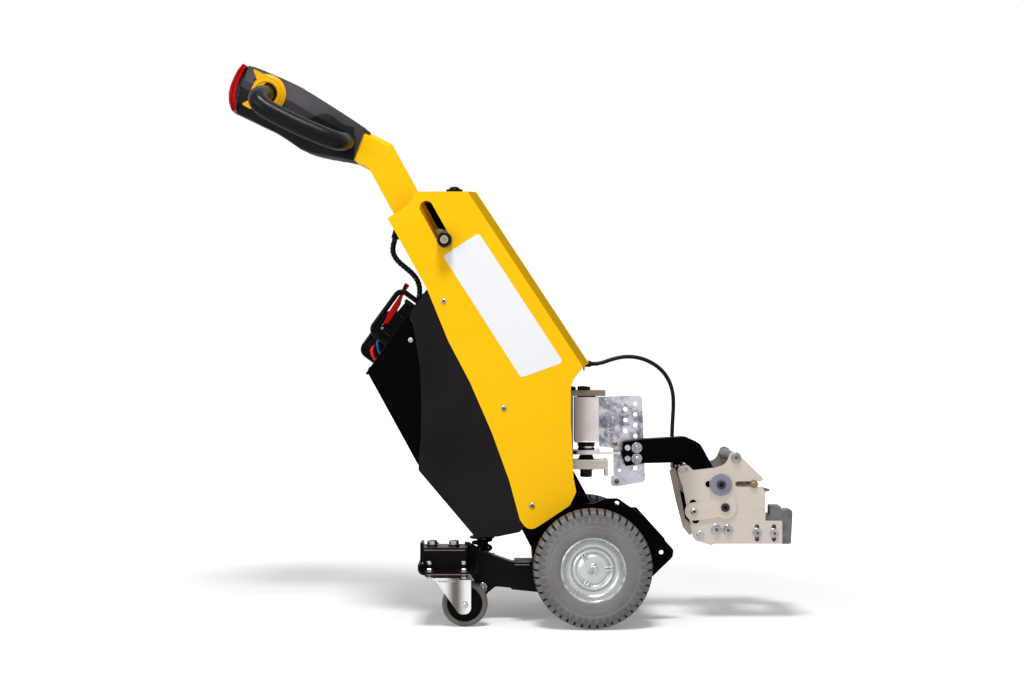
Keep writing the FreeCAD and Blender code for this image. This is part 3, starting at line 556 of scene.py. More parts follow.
@dataclass(frozen=True)
class ShadeBandedSteel(Finish):
    """Bright steel with a band of painted shade near one upright line."""

    # The band stands in for the shade and dark reflections of folds and sides turned from the
    # light.
    middle: float = 0.0
    reach: float = 30.0
    # The colour of the painted shade at the line.
    dark: Colour = (120, 116, 111)

    def colours(self, graph: Graph) -> Socket:
        """Paint the band of shade on the steel near the line.

        Args:
            graph: The material being written.

        Returns:
            The colour's socket.
        """
        far = graph.span(graph.math("ABSOLUTE", graph.ahead(self.middle)),
                         0.1 * self.reach * MILLIMETRE, self.reach * MILLIMETRE)
        return graph.mix(far, self.dark, super().colours(graph))


@dataclass(frozen=True)
class BevelShadedPaint(Finish):
    """Paint with painted shade on the bevels along the cover's two long edges."""

    face: float = 99.5
    # The colour of the painted shade on the bevels, which turn from the light.
    bevel: Colour = (184, 142, 0)

    def colours(self, graph: Graph) -> Socket:
        """Paint shade beyond the flat face's half width.

        Args:
            graph: The material being written.

        Returns:
            The colour's socket.
        """
        wide = graph.span(graph.math("ABSOLUTE", graph.axis("Y")), self.face * MILLIMETRE,
                          (self.face + 1.0) * MILLIMETRE)
        return graph.mix(wide, super().colours(graph), self.bevel)


@dataclass(frozen=True)
class HeadShadedBelow(Finish):
    """Grey plastic above a slanting line, with near-black painted shade below it."""

    # The near-black painted shade on the head's lower, downturned faces.
    below: Colour = (18, 17, 18)
    line_at: Pair = (-789.0, 1201.0)
    fall: float = 0.362
    sag: float = 0.020
    length: float = 0.257
    pad: tuple[float, float, float] = (-592.0, 48.0, 0.021)
    neck: float = -531.5

    def colours(self, graph: Graph) -> Socket:
        """Grey over the line and painted shade under it; the line sags in the middle of the head.

        Args:
            graph: The material being written.

        Returns:
            The colour's socket.
        """
        along = graph.ahead(self.line_at[0])
        line = graph.math("SUBTRACT", self.line_at[1] * MILLIMETRE,
                          graph.math("MULTIPLY", along, self.fall))
        bow = graph.math("MULTIPLY", self.sag,
                         graph.math("SINE", graph.math("MULTIPLY", along, math.pi / self.length)))
        pad = graph.span(graph.math("ABSOLUTE", graph.ahead(self.pad[0])), 0.0,
                         self.pad[1] * MILLIMETRE, self.pad[2], 0.0)
        edge = graph.math("ADD", graph.math("SUBTRACT", line, bow), pad)
        rise = graph.math("SUBTRACT", graph.axis("Z"), edge)
        neck = at(self.neck, 0, 0).x
        grey = graph.math("MAXIMUM", graph.span(rise, -0.002, 0.002),
                          graph.span(graph.axis("X"), neck - 0.001, neck + 0.001))
        # Below the line the colour is painted shade.
        return graph.mix(grey, self.below, super().colours(graph))


@dataclass(frozen=True)
class WrappedCable(Finish):
    """Black spiral wrap with flecks of the coloured wires under it."""

    flecks: tuple[Colour, Colour] = ((20, 96, 190), (96, 110, 120))

    def colours(self, graph: Graph) -> Socket:
        """Black with small coloured gaps between the turns.

        Args:
            graph: The material being written.

        Returns:
            The colour's socket.
        """
        colour = super().colours(graph)
        for fleck, seed in zip(self.flecks, (0.0, 7.3)):
            moved = graph.fill(graph.add("ShaderNodeMapping"), Vector=graph.place,
                               Location=(seed, seed, seed))
            spots = graph.fill(graph.add("ShaderNodeTexVoronoi"), Vector=moved, Scale=130.0)
            colour = graph.mix(graph.span(spots, 0.16, 0.24, 0.9, 0.0), colour, fleck)
        return colour


class Paint:
    """The finishes of the machine."""

    YELLOW = Finish("yellow_powder_coat", (253, 196, 14), (244, 184, 6), 0.36,
                    grain=Grain.POWDER, share=0.5, patch=5.0, specular=0.10)
    CHARCOAL = Finish("charcoal_powder_coat", (31, 29, 31), (19, 17, 18), 0.42,
                      grain=Grain.POWDER, patch=5.0, share=0.7, specular=0.05)
    YELLOW_SHADED_BEVELS = BevelShadedPaint("yellow_sheet_shaded_bevels", (253, 196, 14), (244, 184, 6),
                         0.36, grain=Grain.POWDER, share=0.5, patch=5.0, specular=0.10)
    # Painted highlight: light lines along the edges of the plug's fins.
    RIDGE_HIGHLIGHT = Finish("plug_ridge_painted_highlight", (66, 63, 64), (40, 38, 39), 0.4,
                   grain=Grain.MOULDED, patch=60.0, specular=0.1)
    BATTERY = Finish("battery_black_paint", (4, 4, 5), (8, 8, 9), 0.24,
                     grain=Grain.POWDER, patch=10.0, specular=0.02)
    FRAME = Finish("frame_black_paint", (4, 4, 4), (9, 8, 8), 0.34,
                   grain=Grain.POWDER, patch=20.0, share=0.4, specular=0.02)
    REAR = Finish("rear_arm_paint", (25, 24, 24), (34, 32, 32), 0.36,
                  grain=Grain.POWDER, patch=16.0, share=0.5, specular=0.04)
    BEAM = Finish("beam_black_paint", (12, 11, 11), (20, 18, 18), 0.34,
                  grain=Grain.POWDER, patch=16.0, share=0.5, specular=0.06)
    HOLLOW = Finish("unlit_hollow", (8, 9, 8), (5, 6, 5), 0.9,
                    grain=Grain.CAST, patch=30.0, specular=0.0)
    TUBE = Finish("handle_black_paint", (7, 7, 7), (10, 9, 10), 0.24,
                  grain=Grain.POWDER, patch=24.0, specular=0.07)
    PLUG = Finish("plug_black_plastic", (7, 7, 8), (14, 14, 15), 0.40,
                  grain=Grain.MOULDED, specular=0.06)
    CABLE = Finish("cable_black_sheath", (10, 9, 10), (20, 18, 20), 0.36,
                   grain=Grain.MOULDED, specular=0.16)
    WRAP = WrappedCable("wrapped_cable", (8, 8, 9), (14, 14, 15), 0.42,
                        grain=Grain.MOULDED, specular=0.10)
    RED_WIRE = Finish("red_wire", (252, 20, 16), (232, 10, 10), 0.32,
                      grain=Grain.MOULDED, specular=0.2)
    BLUE_WIRE = Finish("blue_wire", (0, 138, 255), (0, 112, 236), 0.32,
                       grain=Grain.MOULDED, specular=0.2)
    RED_LEVER = Finish("red_lever_plastic", (206, 12, 6), (160, 4, 2), 0.34,
                       grain=Grain.MOULDED, share=0.4, patch=34.0, specular=0.08)
    RED_BUTTON = Finish("red_button_plastic", (168, 4, 10), (146, 0, 6), 0.28,
                        grain=Grain.MOULDED, share=0.4, specular=0.07)
    # The head's grey carries near-black painted shade below a slanting line.
    HEAD = HeadShadedBelow("head_grey_plastic_shaded_below", (62, 58, 64), (48, 45, 51), 0.50,
                       grain=Grain.MOULDED, patch=7.0, share=0.6, specular=0.12)
    HEAD_DARK = Finish("head_dark_plastic", (18, 17, 18), (11, 11, 12), 0.46,
                       grain=Grain.MOULDED, patch=9.0, specular=0.05)
    THROTTLE = Finish("throttle_yellow_plastic", (240, 178, 8), (210, 146, 0),
                      0.30, grain=Grain.MOULDED, share=0.4, specular=0.14)
    GRIP = Finish("grip_black_rubber", (10, 9, 9), (6, 6, 6), 0.30,
                  grain=Grain.RUBBER, patch=22.0, share=0.5, specular=0.16)
    TYRE = TyreRubber("tyre_grey_rubber", (126, 125, 125), (110, 108, 107), 0.72,
                      grain=Grain.RUBBER, patch=18.0, share=0.7, specular=0.15)
    CASTER_TREAD = Finish("caster_grey_tread", (108, 104, 101), (94, 85, 78),
                          0.55, grain=Grain.RUBBER, patch=26.0, share=0.7, specular=0.15)
    CASTER_CORE = Finish("caster_black_core", (10, 9, 9), (20, 17, 16), 0.38,
                         grain=Grain.MOULDED, specular=0.06)
    RIM = ZincPlate("rim_zinc", (208, 212, 211), (170, 178, 175), 0.30,
                    metallic=0.85, grain=Grain.PRESSED, patch=9.0, stain=0.3,
                    straw=(212, 214, 209), violet=(174, 184, 181))
    # The fork's dark middle band is painted shade and reflection between its bright folds.
    FORK = ShadeBandedSteel("fork_zinc", (252, 252, 252), (214, 212, 210), 0.26,
                       metallic=0.9, grain=Grain.PRESSED, patch=20.0, share=0.5,
                       middle=-299.0, reach=24.0, dark=(112, 108, 102))
    ZINC = ZincPlate("zinc_plate", (230, 230, 238), (176, 176, 190), 0.28,
                     metallic=0.85, grain=Grain.PRESSED, patch=16.0, share=0.5, stain=0.9,
                     straw=(234, 233, 230), violet=(104, 104, 130))
    BRIGHT = Finish("bright_zinc_bolt", (208, 208, 212), (120, 120, 126), 0.22,
                    metallic=0.95, grain=Grain.PRESSED, patch=90.0, share=0.8)
    BLACK_OXIDE = Finish("black_oxide_bolt", (24, 22, 22), (50, 46, 46), 0.34,
                         metallic=0.5, grain=Grain.PRESSED, patch=60.0, specular=0.2)
    DARK_STEEL = Finish("dark_socket_screw", (70, 62, 60), (46, 42, 42), 0.40,
                        metallic=0.8, grain=Grain.PRESSED, patch=50.0)
    # Both brushed steels carry a band of painted shade near one upright line.
    STAINLESS = ShadeBandedSteel("stainless_brushed_level", (214, 204, 193),
                            (202, 192, 181), 0.42, metallic=0.5, grain=Grain.BRUSHED,
                            patch=10.0, share=0.4, along=(0.6, 6.0, 16.0), specular=0.3,
                            middle=182.0, reach=74.0, dark=(172, 165, 155))
    STAINLESS_UP = ShadeBandedSteel("stainless_brushed_upright", (244, 238, 234),
                               (206, 198, 194), 0.30, metallic=0.85,
                               grain=Grain.BRUSHED, patch=10.0, share=0.5,
                               along=(12.0, 12.0, 0.6), middle=-44.0, reach=58.0,
                               dark=(150, 139, 134))
    SHADED_STEEL = Finish("stainless_far_plate", (168, 156, 143), (138, 128, 117),
                          0.42, metallic=0.5, grain=Grain.BRUSHED, patch=10.0, share=0.5,
                          along=(0.6, 6.0, 16.0), specular=0.3)
    # Darker steel; on the clevis top, the slot rims and inside the hitch bolts' sockets it is
    # painted shade.
    DIM_STEEL = Finish("dim_steel_bar", (142, 131, 119), (96, 88, 80), 0.36,
                        metallic=0.75, grain=Grain.PRESSED, patch=40.0, share=0.7)
    # Painted highlight: light strips along the front edges of the black sheets.
    EDGE_HIGHLIGHT = Finish("painted_edge_highlight", (128, 112, 108), (92, 82, 80), 0.40,
                      metallic=0.3, grain=Grain.PRESSED, patch=40.0, share=0.5)
    DISC = Finish("disc_grey_zinc", (138, 138, 156), (120, 120, 144), 0.46,
                  metallic=0.6, grain=Grain.PRESSED, patch=30.0, share=0.5)
    JAW = Finish("jaw_cast_steel", (118, 118, 117), (82, 84, 83), 0.55,
                 metallic=0.6, grain=Grain.CAST, patch=30.0, share=0.8)
    PLATED = Finish("plated_nut", (190, 193, 198), (112, 114, 120), 0.22,
                    metallic=0.95, grain=Grain.PRESSED, patch=50.0, share=0.6)
    BRASS = Finish("brass_rod", (214, 164, 84), (176, 122, 52), 0.26,
                   metallic=0.95, grain=Grain.PRESSED, patch=50.0, share=0.4)
    BRONZE = Finish("bronze_screw", (170, 152, 116), (120, 106, 80), 0.34,
                    metallic=0.8, grain=Grain.PRESSED, patch=60.0, share=0.5)
    LABEL = Finish("label_white_film", (238, 239, 242), (230, 232, 236), 0.30,
                   grain=Grain.POWDER, patch=6.0, specular=0.2)


# ---- mesh work -----------------------------------------------------------------------------
class Shape:
    """A mesh under construction; its parts keep the number of their finish."""

    def __init__(self) -> None:
        """Start an empty mesh."""
        self.bm = bmesh.new()

    def loft(self, loops: Sequence[Sequence[Vector]], finish: int = 0, caps: bool = True,
             closed: bool = False) -> None:
        """Skin a row of equal loops.

        Args:
            loops: Loops of points in metres, each with the same count.
            finish: Number of the finish on the skin.
            caps: Whether the first and last loop are filled.
            closed: Whether the last loop joins the first.
        """
        rows = [[self.bm.verts.new(point) for point in loop] for loop in loops]
        count = len(rows[0])
        pairs = list(zip(rows, rows[1:])) + ([(rows[-1], rows[0])] if closed else [])
        faces = []
        for low, high in pairs:
            for i in range(count):
                j = (i + 1) % count
                faces.append(self.bm.faces.new((low[i], low[j], high[j], high[i])))
        if caps and not closed:
            faces.append(self.bm.faces.new(rows[0][::-1]))
            faces.append(self.bm.faces.new(rows[-1]))
        for face in faces:
            face.material_index = finish

    def lathe(self, profile: Profile, centre: Vector, axis: Vector, count: int = 48,
              finish: int = 0, closed: bool = False) -> None:
        """Turn a profile about an axis.

        Args:
            profile: (radius, height along the axis) in millimetres.
            centre: The axis's point at height nought, in metres.
            axis: The axis's direction.
            count: Steps round the axis.
            finish: Number of the finish.
            closed: Whether the profile closes on itself, as a ring's does.
        """
        turn = axis.to_track_quat("Z", "Y")
        loops = []
        for radius, height in profile:
            reach = max(radius, LEAST_RADIUS) * MILLIMETRE
            loops.append([centre + turn @ Vector((
                reach * math.cos(FULL_TURN * i / count),
                reach * math.sin(FULL_TURN * i / count), height * MILLIMETRE))
                for i in range(count)])
        self.loft(loops, finish, closed=closed)

    def prism(self, corners: Sequence[Sequence[float]], low: float, high: float,
              plane: Plane = Plane.SIDE, finish: int = 0) -> None:
        """Push an outline straight from one depth to another.

        Args:
            corners: (a, b) or (a, b, rounding radius) in the plane, in millimetres.
            low: Depth of one end, in millimetres.
            high: Depth of the other end.
            plane: The outline's plane.
            finish: Number of the finish.
        """
        points = rounded(corners)
        self.loft([[at(a, depth, b) if plane is Plane.SIDE else at(a, b, depth)
                    for a, b in points] for depth in (low, high)], finish)

    def block(self, x: Pair, y: Pair,
              z: Pair, finish: int = 0, radius: float = 0.0,
              plane: Plane = Plane.SIDE) -> None:
        """A bar whose corners in a plane may be rounded.

        Args:
            x: Its low and high X, in millimetres.
            y: Its low and high Y.
            z: Its low and high Z.
            finish: Number of its finish.
            radius: Radius of its corners in the plane.
            plane: The plane that its corners are rounded in.
        """
        (low, high), depth = (z, y) if plane is Plane.SIDE else (y, z)
        self.prism([(x[0], low, radius), (x[1], low, radius), (x[1], high, radius),
                    (x[0], high, radius)], *depth, plane, finish)

    def tube(self, points: Sequence[Vector], radius: float, count: int = 16,
             finish: int = 0, closed: bool = False,
             swell: Callable[[float, float], float] | None = None) -> None:
        """Sweep a circle along points in metres, without twist.

        Args:
            points: The centre line.
            radius: The tube's radius in millimetres.
            count: Steps round it.
            finish: Number of the finish.
            closed: Whether the line is a ring.
            swell: Factor on the radius by the share of the way along and the angle.
        """
        loops = []
        side = None
        total = len(points)
        for i, point in enumerate(points):
            before = points[i - 1] if i or closed else point
            after = points[(i + 1) % total] if i + 1 < total or closed else point
            ahead = (after - before).normalized()
            if side is None:
                side = ahead.orthogonal().normalized()
            side = (side - ahead * side.dot(ahead)).normalized()
            other = ahead.cross(side)
            loop = []
            for angle in (FULL_TURN * k / count for k in range(count)):
                factor = swell(i / (total - 1), angle) if swell else 1.0
                spoke = side * math.cos(angle) + other * math.sin(angle)
                loop.append(point + spoke * (radius * MILLIMETRE * factor))
            loops.append(loop)
        self.loft(loops, finish, closed=closed)

    def fastener(self, kind: Head, place: Vector, out: Vector, size: float,
                 height: float = 5.0, washer: float = 0.0, finish: int = 0,
                 dark: int | None = None) -> None:
        """A bolt head, nut or pin end standing on a surface.

        Args:
            kind: What the head is.
            place: The point on the surface, in metres.
            out: The direction it stands in.
            size: Radius over its corners, in millimetres.
            height: How far it stands, in millimetres.
            washer: Radius of a washer under it, or nought.
            finish: Number of its finish.
            dark: Number of the finish inside its socket; a darker one is painted shade in the
                recess.
        """
        lift = 0.0
        if washer:
            self.lathe([(washer - 0.4, -0.5), (washer, 0.2), (washer, 1.4), (washer - 0.5, 1.8),
                        (size * 0.5, 1.8), (size * 0.5, -0.5)], place, out, 40, finish, True)
            lift = 1.6
        inner = size * 0.52
        if kind in (Head.HEXAGON, Head.NUT):
            self.lathe([(size * 0.9, lift - 0.6), (size, lift + 0.5), (size, lift + height - 1),
                        (size * 0.87, lift + height)], place, out, 6, finish)
            shank = [(inner, lift + height - 0.5), (inner, lift + height + 0.35),
                     (inner - 0.8, lift + height + 0.7)]
            if kind is Head.NUT:
                shank = [(inner, lift + height - 0.5), (inner, lift + height + 2.2),
                         (inner - 1.0, lift + height + 3.0)]
            self.lathe(shank, place, out, 24, finish)
            return
        dome = {Head.SOCKET: [(size * 0.98, -0.6), (size, 0.3), (size, 0.86),
                              (size * 0.93, 1.0)],
                Head.BUTTON: [(size, -0.2), (size * 0.97, 0.25), (size * 0.83, 0.62),
                              (size * 0.62, 0.88), (size * 0.55, 0.92)],
                Head.PIN: [(size, -0.3), (size, 0.7), (size * 0.92, 0.9), (size * 0.78, 1.0)]}
        profile = [(r, lift + (h * height if h > 0 else h)) for r, h in dome[kind]]
        if kind is Head.PIN:
            self.lathe(profile, place, out, 32, finish)
            return
        top = profile[-1][1]
        self.lathe(profile + [(size * 0.50, top), (size * 0.48, top - height * 0.45)],
                   place, out, 36, finish)
        # The socket's inside takes the dark finish, painted shade in the recess.
        self.lathe([(size * 0.44, top - height * 0.5), (size * 0.44, top - height * 0.04),
                    (size * 0.30, top - height * 0.3), (size * 0.26, top - height * 0.42)],
                   place, out, 6, finish if dark is None else dark)

    def mesh(self, name: str, finishes: Sequence[Finish]) -> bpy.types.Mesh:
        """The finished mesh, smooth all over and with its materials.

        Args:
            name: The mesh's name.
            finishes: Its finishes, by their numbers.

        Returns:
            The new mesh; the shape takes no more parts.
        """
        mesh = bpy.data.meshes.new(name)
        self.bm.to_mesh(mesh)
        self.bm.free()
        for polygon in mesh.polygons:
            polygon.use_smooth = True
        for finish in finishes:
            mesh.materials.append(finish.material())
        return mesh

    def publish(self, name: str, finishes: Finish | Sequence[Finish], body: str,
                edge: float = 0.0, smooth: float = 38.0, subdivide: int = 0,
                stands_for: Iterable[str] = ()) -> bpy.types.Object:
        """Turn the mesh into a piece of the machine.

        Args:
            name: The piece's name.
            finishes: Its finish or finishes, by their numbers.
            body: The body it rides on.
            edge: Width of a rounded edge in millimetres, or nought.
            smooth: Edges sharper than this many degrees stay crisp.
            subdivide: Levels of subdivision.
            stands_for: Frame nodes that it replaces.

        Returns:
            The new object.
        """
        bmesh.ops.recalc_face_normals(self.bm, faces=self.bm.faces)
        mesh = self.mesh(name, [finishes] if isinstance(finishes, Finish) else finishes)
        mesh.set_sharp_from_angle(angle=math.radians(smooth))
        piece = stand(name, mesh)
        if subdivide:
            levels = piece.modifiers.new("smooth", "SUBSURF")
            levels.levels = levels.render_levels = subdivide
        if edge:
            round_edges(piece, edge)
        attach(piece, body)
        names = list(stands_for)
        if names:
            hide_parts(*names)
        LOG.info("made %s on %s", name, body)
        return piece


def round_edges(piece: bpy.types.Object, width: float, angle: float = 32.0) -> None:
    """Give an object's sharp edges a small rounding.

    Args:
        piece: The object.
        width: The rounding's width in millimetres.
        angle: The least turn of a rounded edge, in degrees.
    """
    bevel = piece.modifiers.new("edges", "BEVEL")
    bevel.width = width * MILLIMETRE
    bevel.segments = 2
    bevel.limit_method = "ANGLE"
    bevel.angle_limit = math.radians(angle)
    bevel.harden_normals = True


def dress(finish: Finish, *nodes: str, edge: float = 0.0) -> None:
    """Give frame nodes their finish and, if asked, softened edges.

    Args:
        finish: The finish.
        nodes: The nodes' names.
        edge: Width of the edges' rounding in millimetres, or nought.
    """
    for name in nodes:
        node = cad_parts[name]
        node.data.materials.clear()
        node.data.materials.append(finish.material())
        if edge:
            weld = node.modifiers.new("weld", "WELD")
            weld.merge_threshold = WELD_DISTANCE
            round_edges(node, edge)
        LOG.info("dressed %s", name)


def both(name: str) -> tuple[str, str]:
    """A node's name on the right and on the left."""
    return (name + "_right", name + "_left")


# ---- camera, floor and light -----------------------------------------------------------------
@dataclass
class Studio:
    """The camera, the pale floor and the lamps."""

    lens: float = 56.57
    stand_back: float = 3.672
    camera_height: float = 0.624
    camera_x: float = 0.00986
    floor_size: float = 40.0
    daylight: float = 0.36
    glow_near: float = 0.20
    glow_from: float = 0.75
    glow_to: float = 2.0
    aim_height: float = 0.6
    key_watts: float = 142.0
    fill_watts: float = 34.0

    def camera(self) -> None:
        """Set up a level camera that looks along +Y."""
        lens = bpy.data.cameras.new("camera")
        lens.lens = self.lens
        lens.sensor_width = 36.0
        eye = stand("camera", lens)
        eye.location = (self.camera_x, -self.stand_back, self.camera_height)
        eye.rotation_euler = (math.radians(90), 0, 0)
        bpy.context.scene.camera = eye

    def floor(self) -> None:
        """Lay a white floor that keeps the machine's shadow and glows white far from it."""
        graph = Graph("floor_white")
        graph.fill(graph.shader, Base_Color=(0.90, 0.90, 0.90), Roughness=0.9,
                   Specular_IOR_Level=0.0)
        seen = graph.add("ShaderNodeLightPath").outputs["Is Camera Ray"]
        away = graph.add("ShaderNodeVectorMath", operation="LENGTH")
        graph.join(graph.place, away.inputs[0])
        glow = graph.math("MULTIPLY", seen, graph.span(away.outputs["Value"], self.glow_from,
                                                       self.glow_to, self.glow_near, 1.0))
        graph.fill(graph.shader, Emission_Color=(1, 1, 1), Emission_Strength=glow)
        mesh = bpy.data.meshes.new("floor")
        half = self.floor_size / 2
        mesh.from_pydata([(-half, -half, 0), (half, -half, 0), (half, half, 0), (-half, half, 0)],
                         [], [(0, 1, 2, 3)])
        mesh.materials.append(graph.material)
        stand("floor", mesh)

    def world(self) -> None:
        """Fill the room with soft daylight; the camera and mirrors see white."""
        world = bpy.data.worlds.new("daylight")
        world.use_nodes = True
        bpy.context.scene.world = world
        tree = world.node_tree
        light = tree.nodes["Background"]
        path = tree.nodes.new("ShaderNodeLightPath")
        level = tree.nodes.new("ShaderNodeMapRange")
        level.inputs["To Min"].default_value = self.daylight
        level.inputs["To Max"].default_value = 1.0
        shown = path.outputs["Is Camera Ray"]
        for ray in ("Is Glossy Ray", "Is Transmission Ray"):
            either = tree.nodes.new("ShaderNodeMath")
            either.operation = "MAXIMUM"
            tree.links.new(shown, either.inputs[0])
            tree.links.new(path.outputs[ray], either.inputs[1])
            shown = either.outputs[0]
        tree.links.new(shown, level.inputs["Value"])
        tree.links.new(level.outputs[0], light.inputs["Strength"])
        light.inputs["Color"].default_value = (1, 1, 1, 1)

    def lamp(self, name: str, place: Vector, aim: Vector, size: Pair,
             power: float) -> None:
        """A rectangular soft lamp.

        Args:
            name: The lamp's name.
            place: Where it hangs, in metres.
            aim: The point it faces.
            size: Its width and height in metres.
            power: Its power in watts.
        """
        data = bpy.data.lights.new(name, "AREA")
        data.shape = "RECTANGLE"
        data.size, data.size_y = size
        data.energy = power
        lamp = stand(name, data)
        lamp.location = place
        lamp.rotation_euler = (aim - place).to_track_quat("-Z", "Y").to_euler()

    def build(self) -> None:
        """Make the floor, the daylight and the lamps."""
        self.floor()
        self.world()
        middle = Vector((0, 0, self.aim_height))
        self.lamp("key", Vector((-0.15, -1.9, 4.4)), middle, (1.2, 0.9), self.key_watts)
        self.lamp("fill", Vector((-2.8, -3.0, 1.6)), middle, (2.4, 2.2), self.fill_watts)
        bpy.context.scene.view_settings.view_transform = "Standard"


# ---- cords ---------------------------------------------------------------------------------
@dataclass
class Cables:
    """The cable to the hitch arm, the wrapped battery cable and the two battery leads."""

    front_diameter: float = 8.4
    rear_diameter: float = 12.0
    red_diameter: float = 7.0
    blue_diameter: float = 6.0
    wrap_pitch: float = 9.0
    fineness: int = 20

    def route(self, name: str, points: Sequence[Vector]) -> list[Vector]:
        """The smooth line of a cord through its control points in metres."""
        return follow(name, points, 3, self.fineness)

    def length(self, points: Sequence[Vector]) -> float:
        """The length of a line in metres."""
        return sum((after - before).length for before, after in zip(points, points[1:]))

    def front(self) -> None:
        """The cable that arches from the cover to the arm."""
        points = [at(4, 0, 573), at(24, 0, 573), at(50, 0, 583), at(80, 0, 590),
                  at(110, 0, 588.5), at(138, 0, 579), at(163, 0, 562.5), at(181.5, 0, 538.5),
                  at(191.5, 0, 509), at(193, 0, 477.5), at(190.5, 0, 442.5), at(189.2, 0, 407.3)]
        line = self.route("hitch_cable", points)
        shape = Shape()
        shape.tube(line, self.front_diameter / 2 + 0.3, 20)
        cable = stand("hitch_cable", shape.mesh("hitch_cable", [Paint.CABLE]))
        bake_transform(cable)
        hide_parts("front_cable")
        LOG.info("hitch_cable: %.1f mm", self.length(line) / MILLIMETRE)

    def rear(self) -> None:
        """The spiral-wrapped cable from the cover's back down to the battery lid."""
        mids = [(-442.69, 858.64), (-447.46, 842.33), (-447.5, 825), (-437, 808),
                (-420, 793.5), (-403.5, 780), (-391, 764), (-386, 746), (-386.8, 727),
                (-390, 706)]
        line = self.route("battery_cable", [at(x, 0, z) for x, z in mids])
        reach = self.length(line) / MILLIMETRE
        turns = reach / self.wrap_pitch

        def wrap(share: float, angle: float) -> float:
            """The wrap's ridge at a share of the way and an angle."""
            wave = math.cos(angle - FULL_TURN * turns * share)
            return 0.96 + 0.10 * max(0.0, min(1.0, 0.5 + 2.2 * wave))

        shape = Shape()
        shape.tube(line, self.rear_diameter / 2, 28, swell=wrap)
        cable = shape.publish("battery_cable", Paint.WRAP, "chassis", smooth=80,
                              stands_for=["rear_cable"])
        LOG.info("battery_cable: %.1f mm", reach)

    def lead(self, name: str, finish: Finish, diameter: float,
             controls: Sequence[tuple[float, float, float]]) -> None:
        """A short battery lead from the plug down into the lid.

        Args:
            name: The lead's name.
            finish: Its finish.
            diameter: Its diameter in millimetres.
            controls: Its route, as the lid's own (along, out, across) in millimetres.
        """
        points = [at(*on_lid(*control)) for control in controls]
        line = self.route(name, points)
        shape = Shape()
        shape.tube(line, diameter / 2, 18)
        piece = shape.publish(name, finish, "chassis", smooth=80)
        LOG.info("%s: %.1f mm", name, self.length(line) / MILLIMETRE)

    def build(self) -> None:
        """Make every cord."""
        self.front()
        self.rear()
        self.lead("red_battery_lead", Paint.RED_WIRE, self.red_diameter,
                  [(60, 20, 14), (57, 25, 2), (51, 27, -14), (43, 25, -22), (37, 18, -24),
                   (32, 8.7, -24), (30.5, -2, -24)])
        self.lead("blue_battery_lead", Paint.BLUE_WIRE, self.blue_diameter,
                  [(76, 22, -6), (69, 27, -8), (61, 24, -8), (53, 14, -8), (48.5, 8, -8),
                   (46.5, -2, -8)])
        shape = Shape()
        shape.tube([at(4.2, 0, 573), at(10, 0, 573), at(22, 0, 573)], 5.2, 24,
                   swell=lambda share, angle: 1.0 - 0.22 * share)
        shape.publish("cable_relief", Paint.PLUG, "chassis")


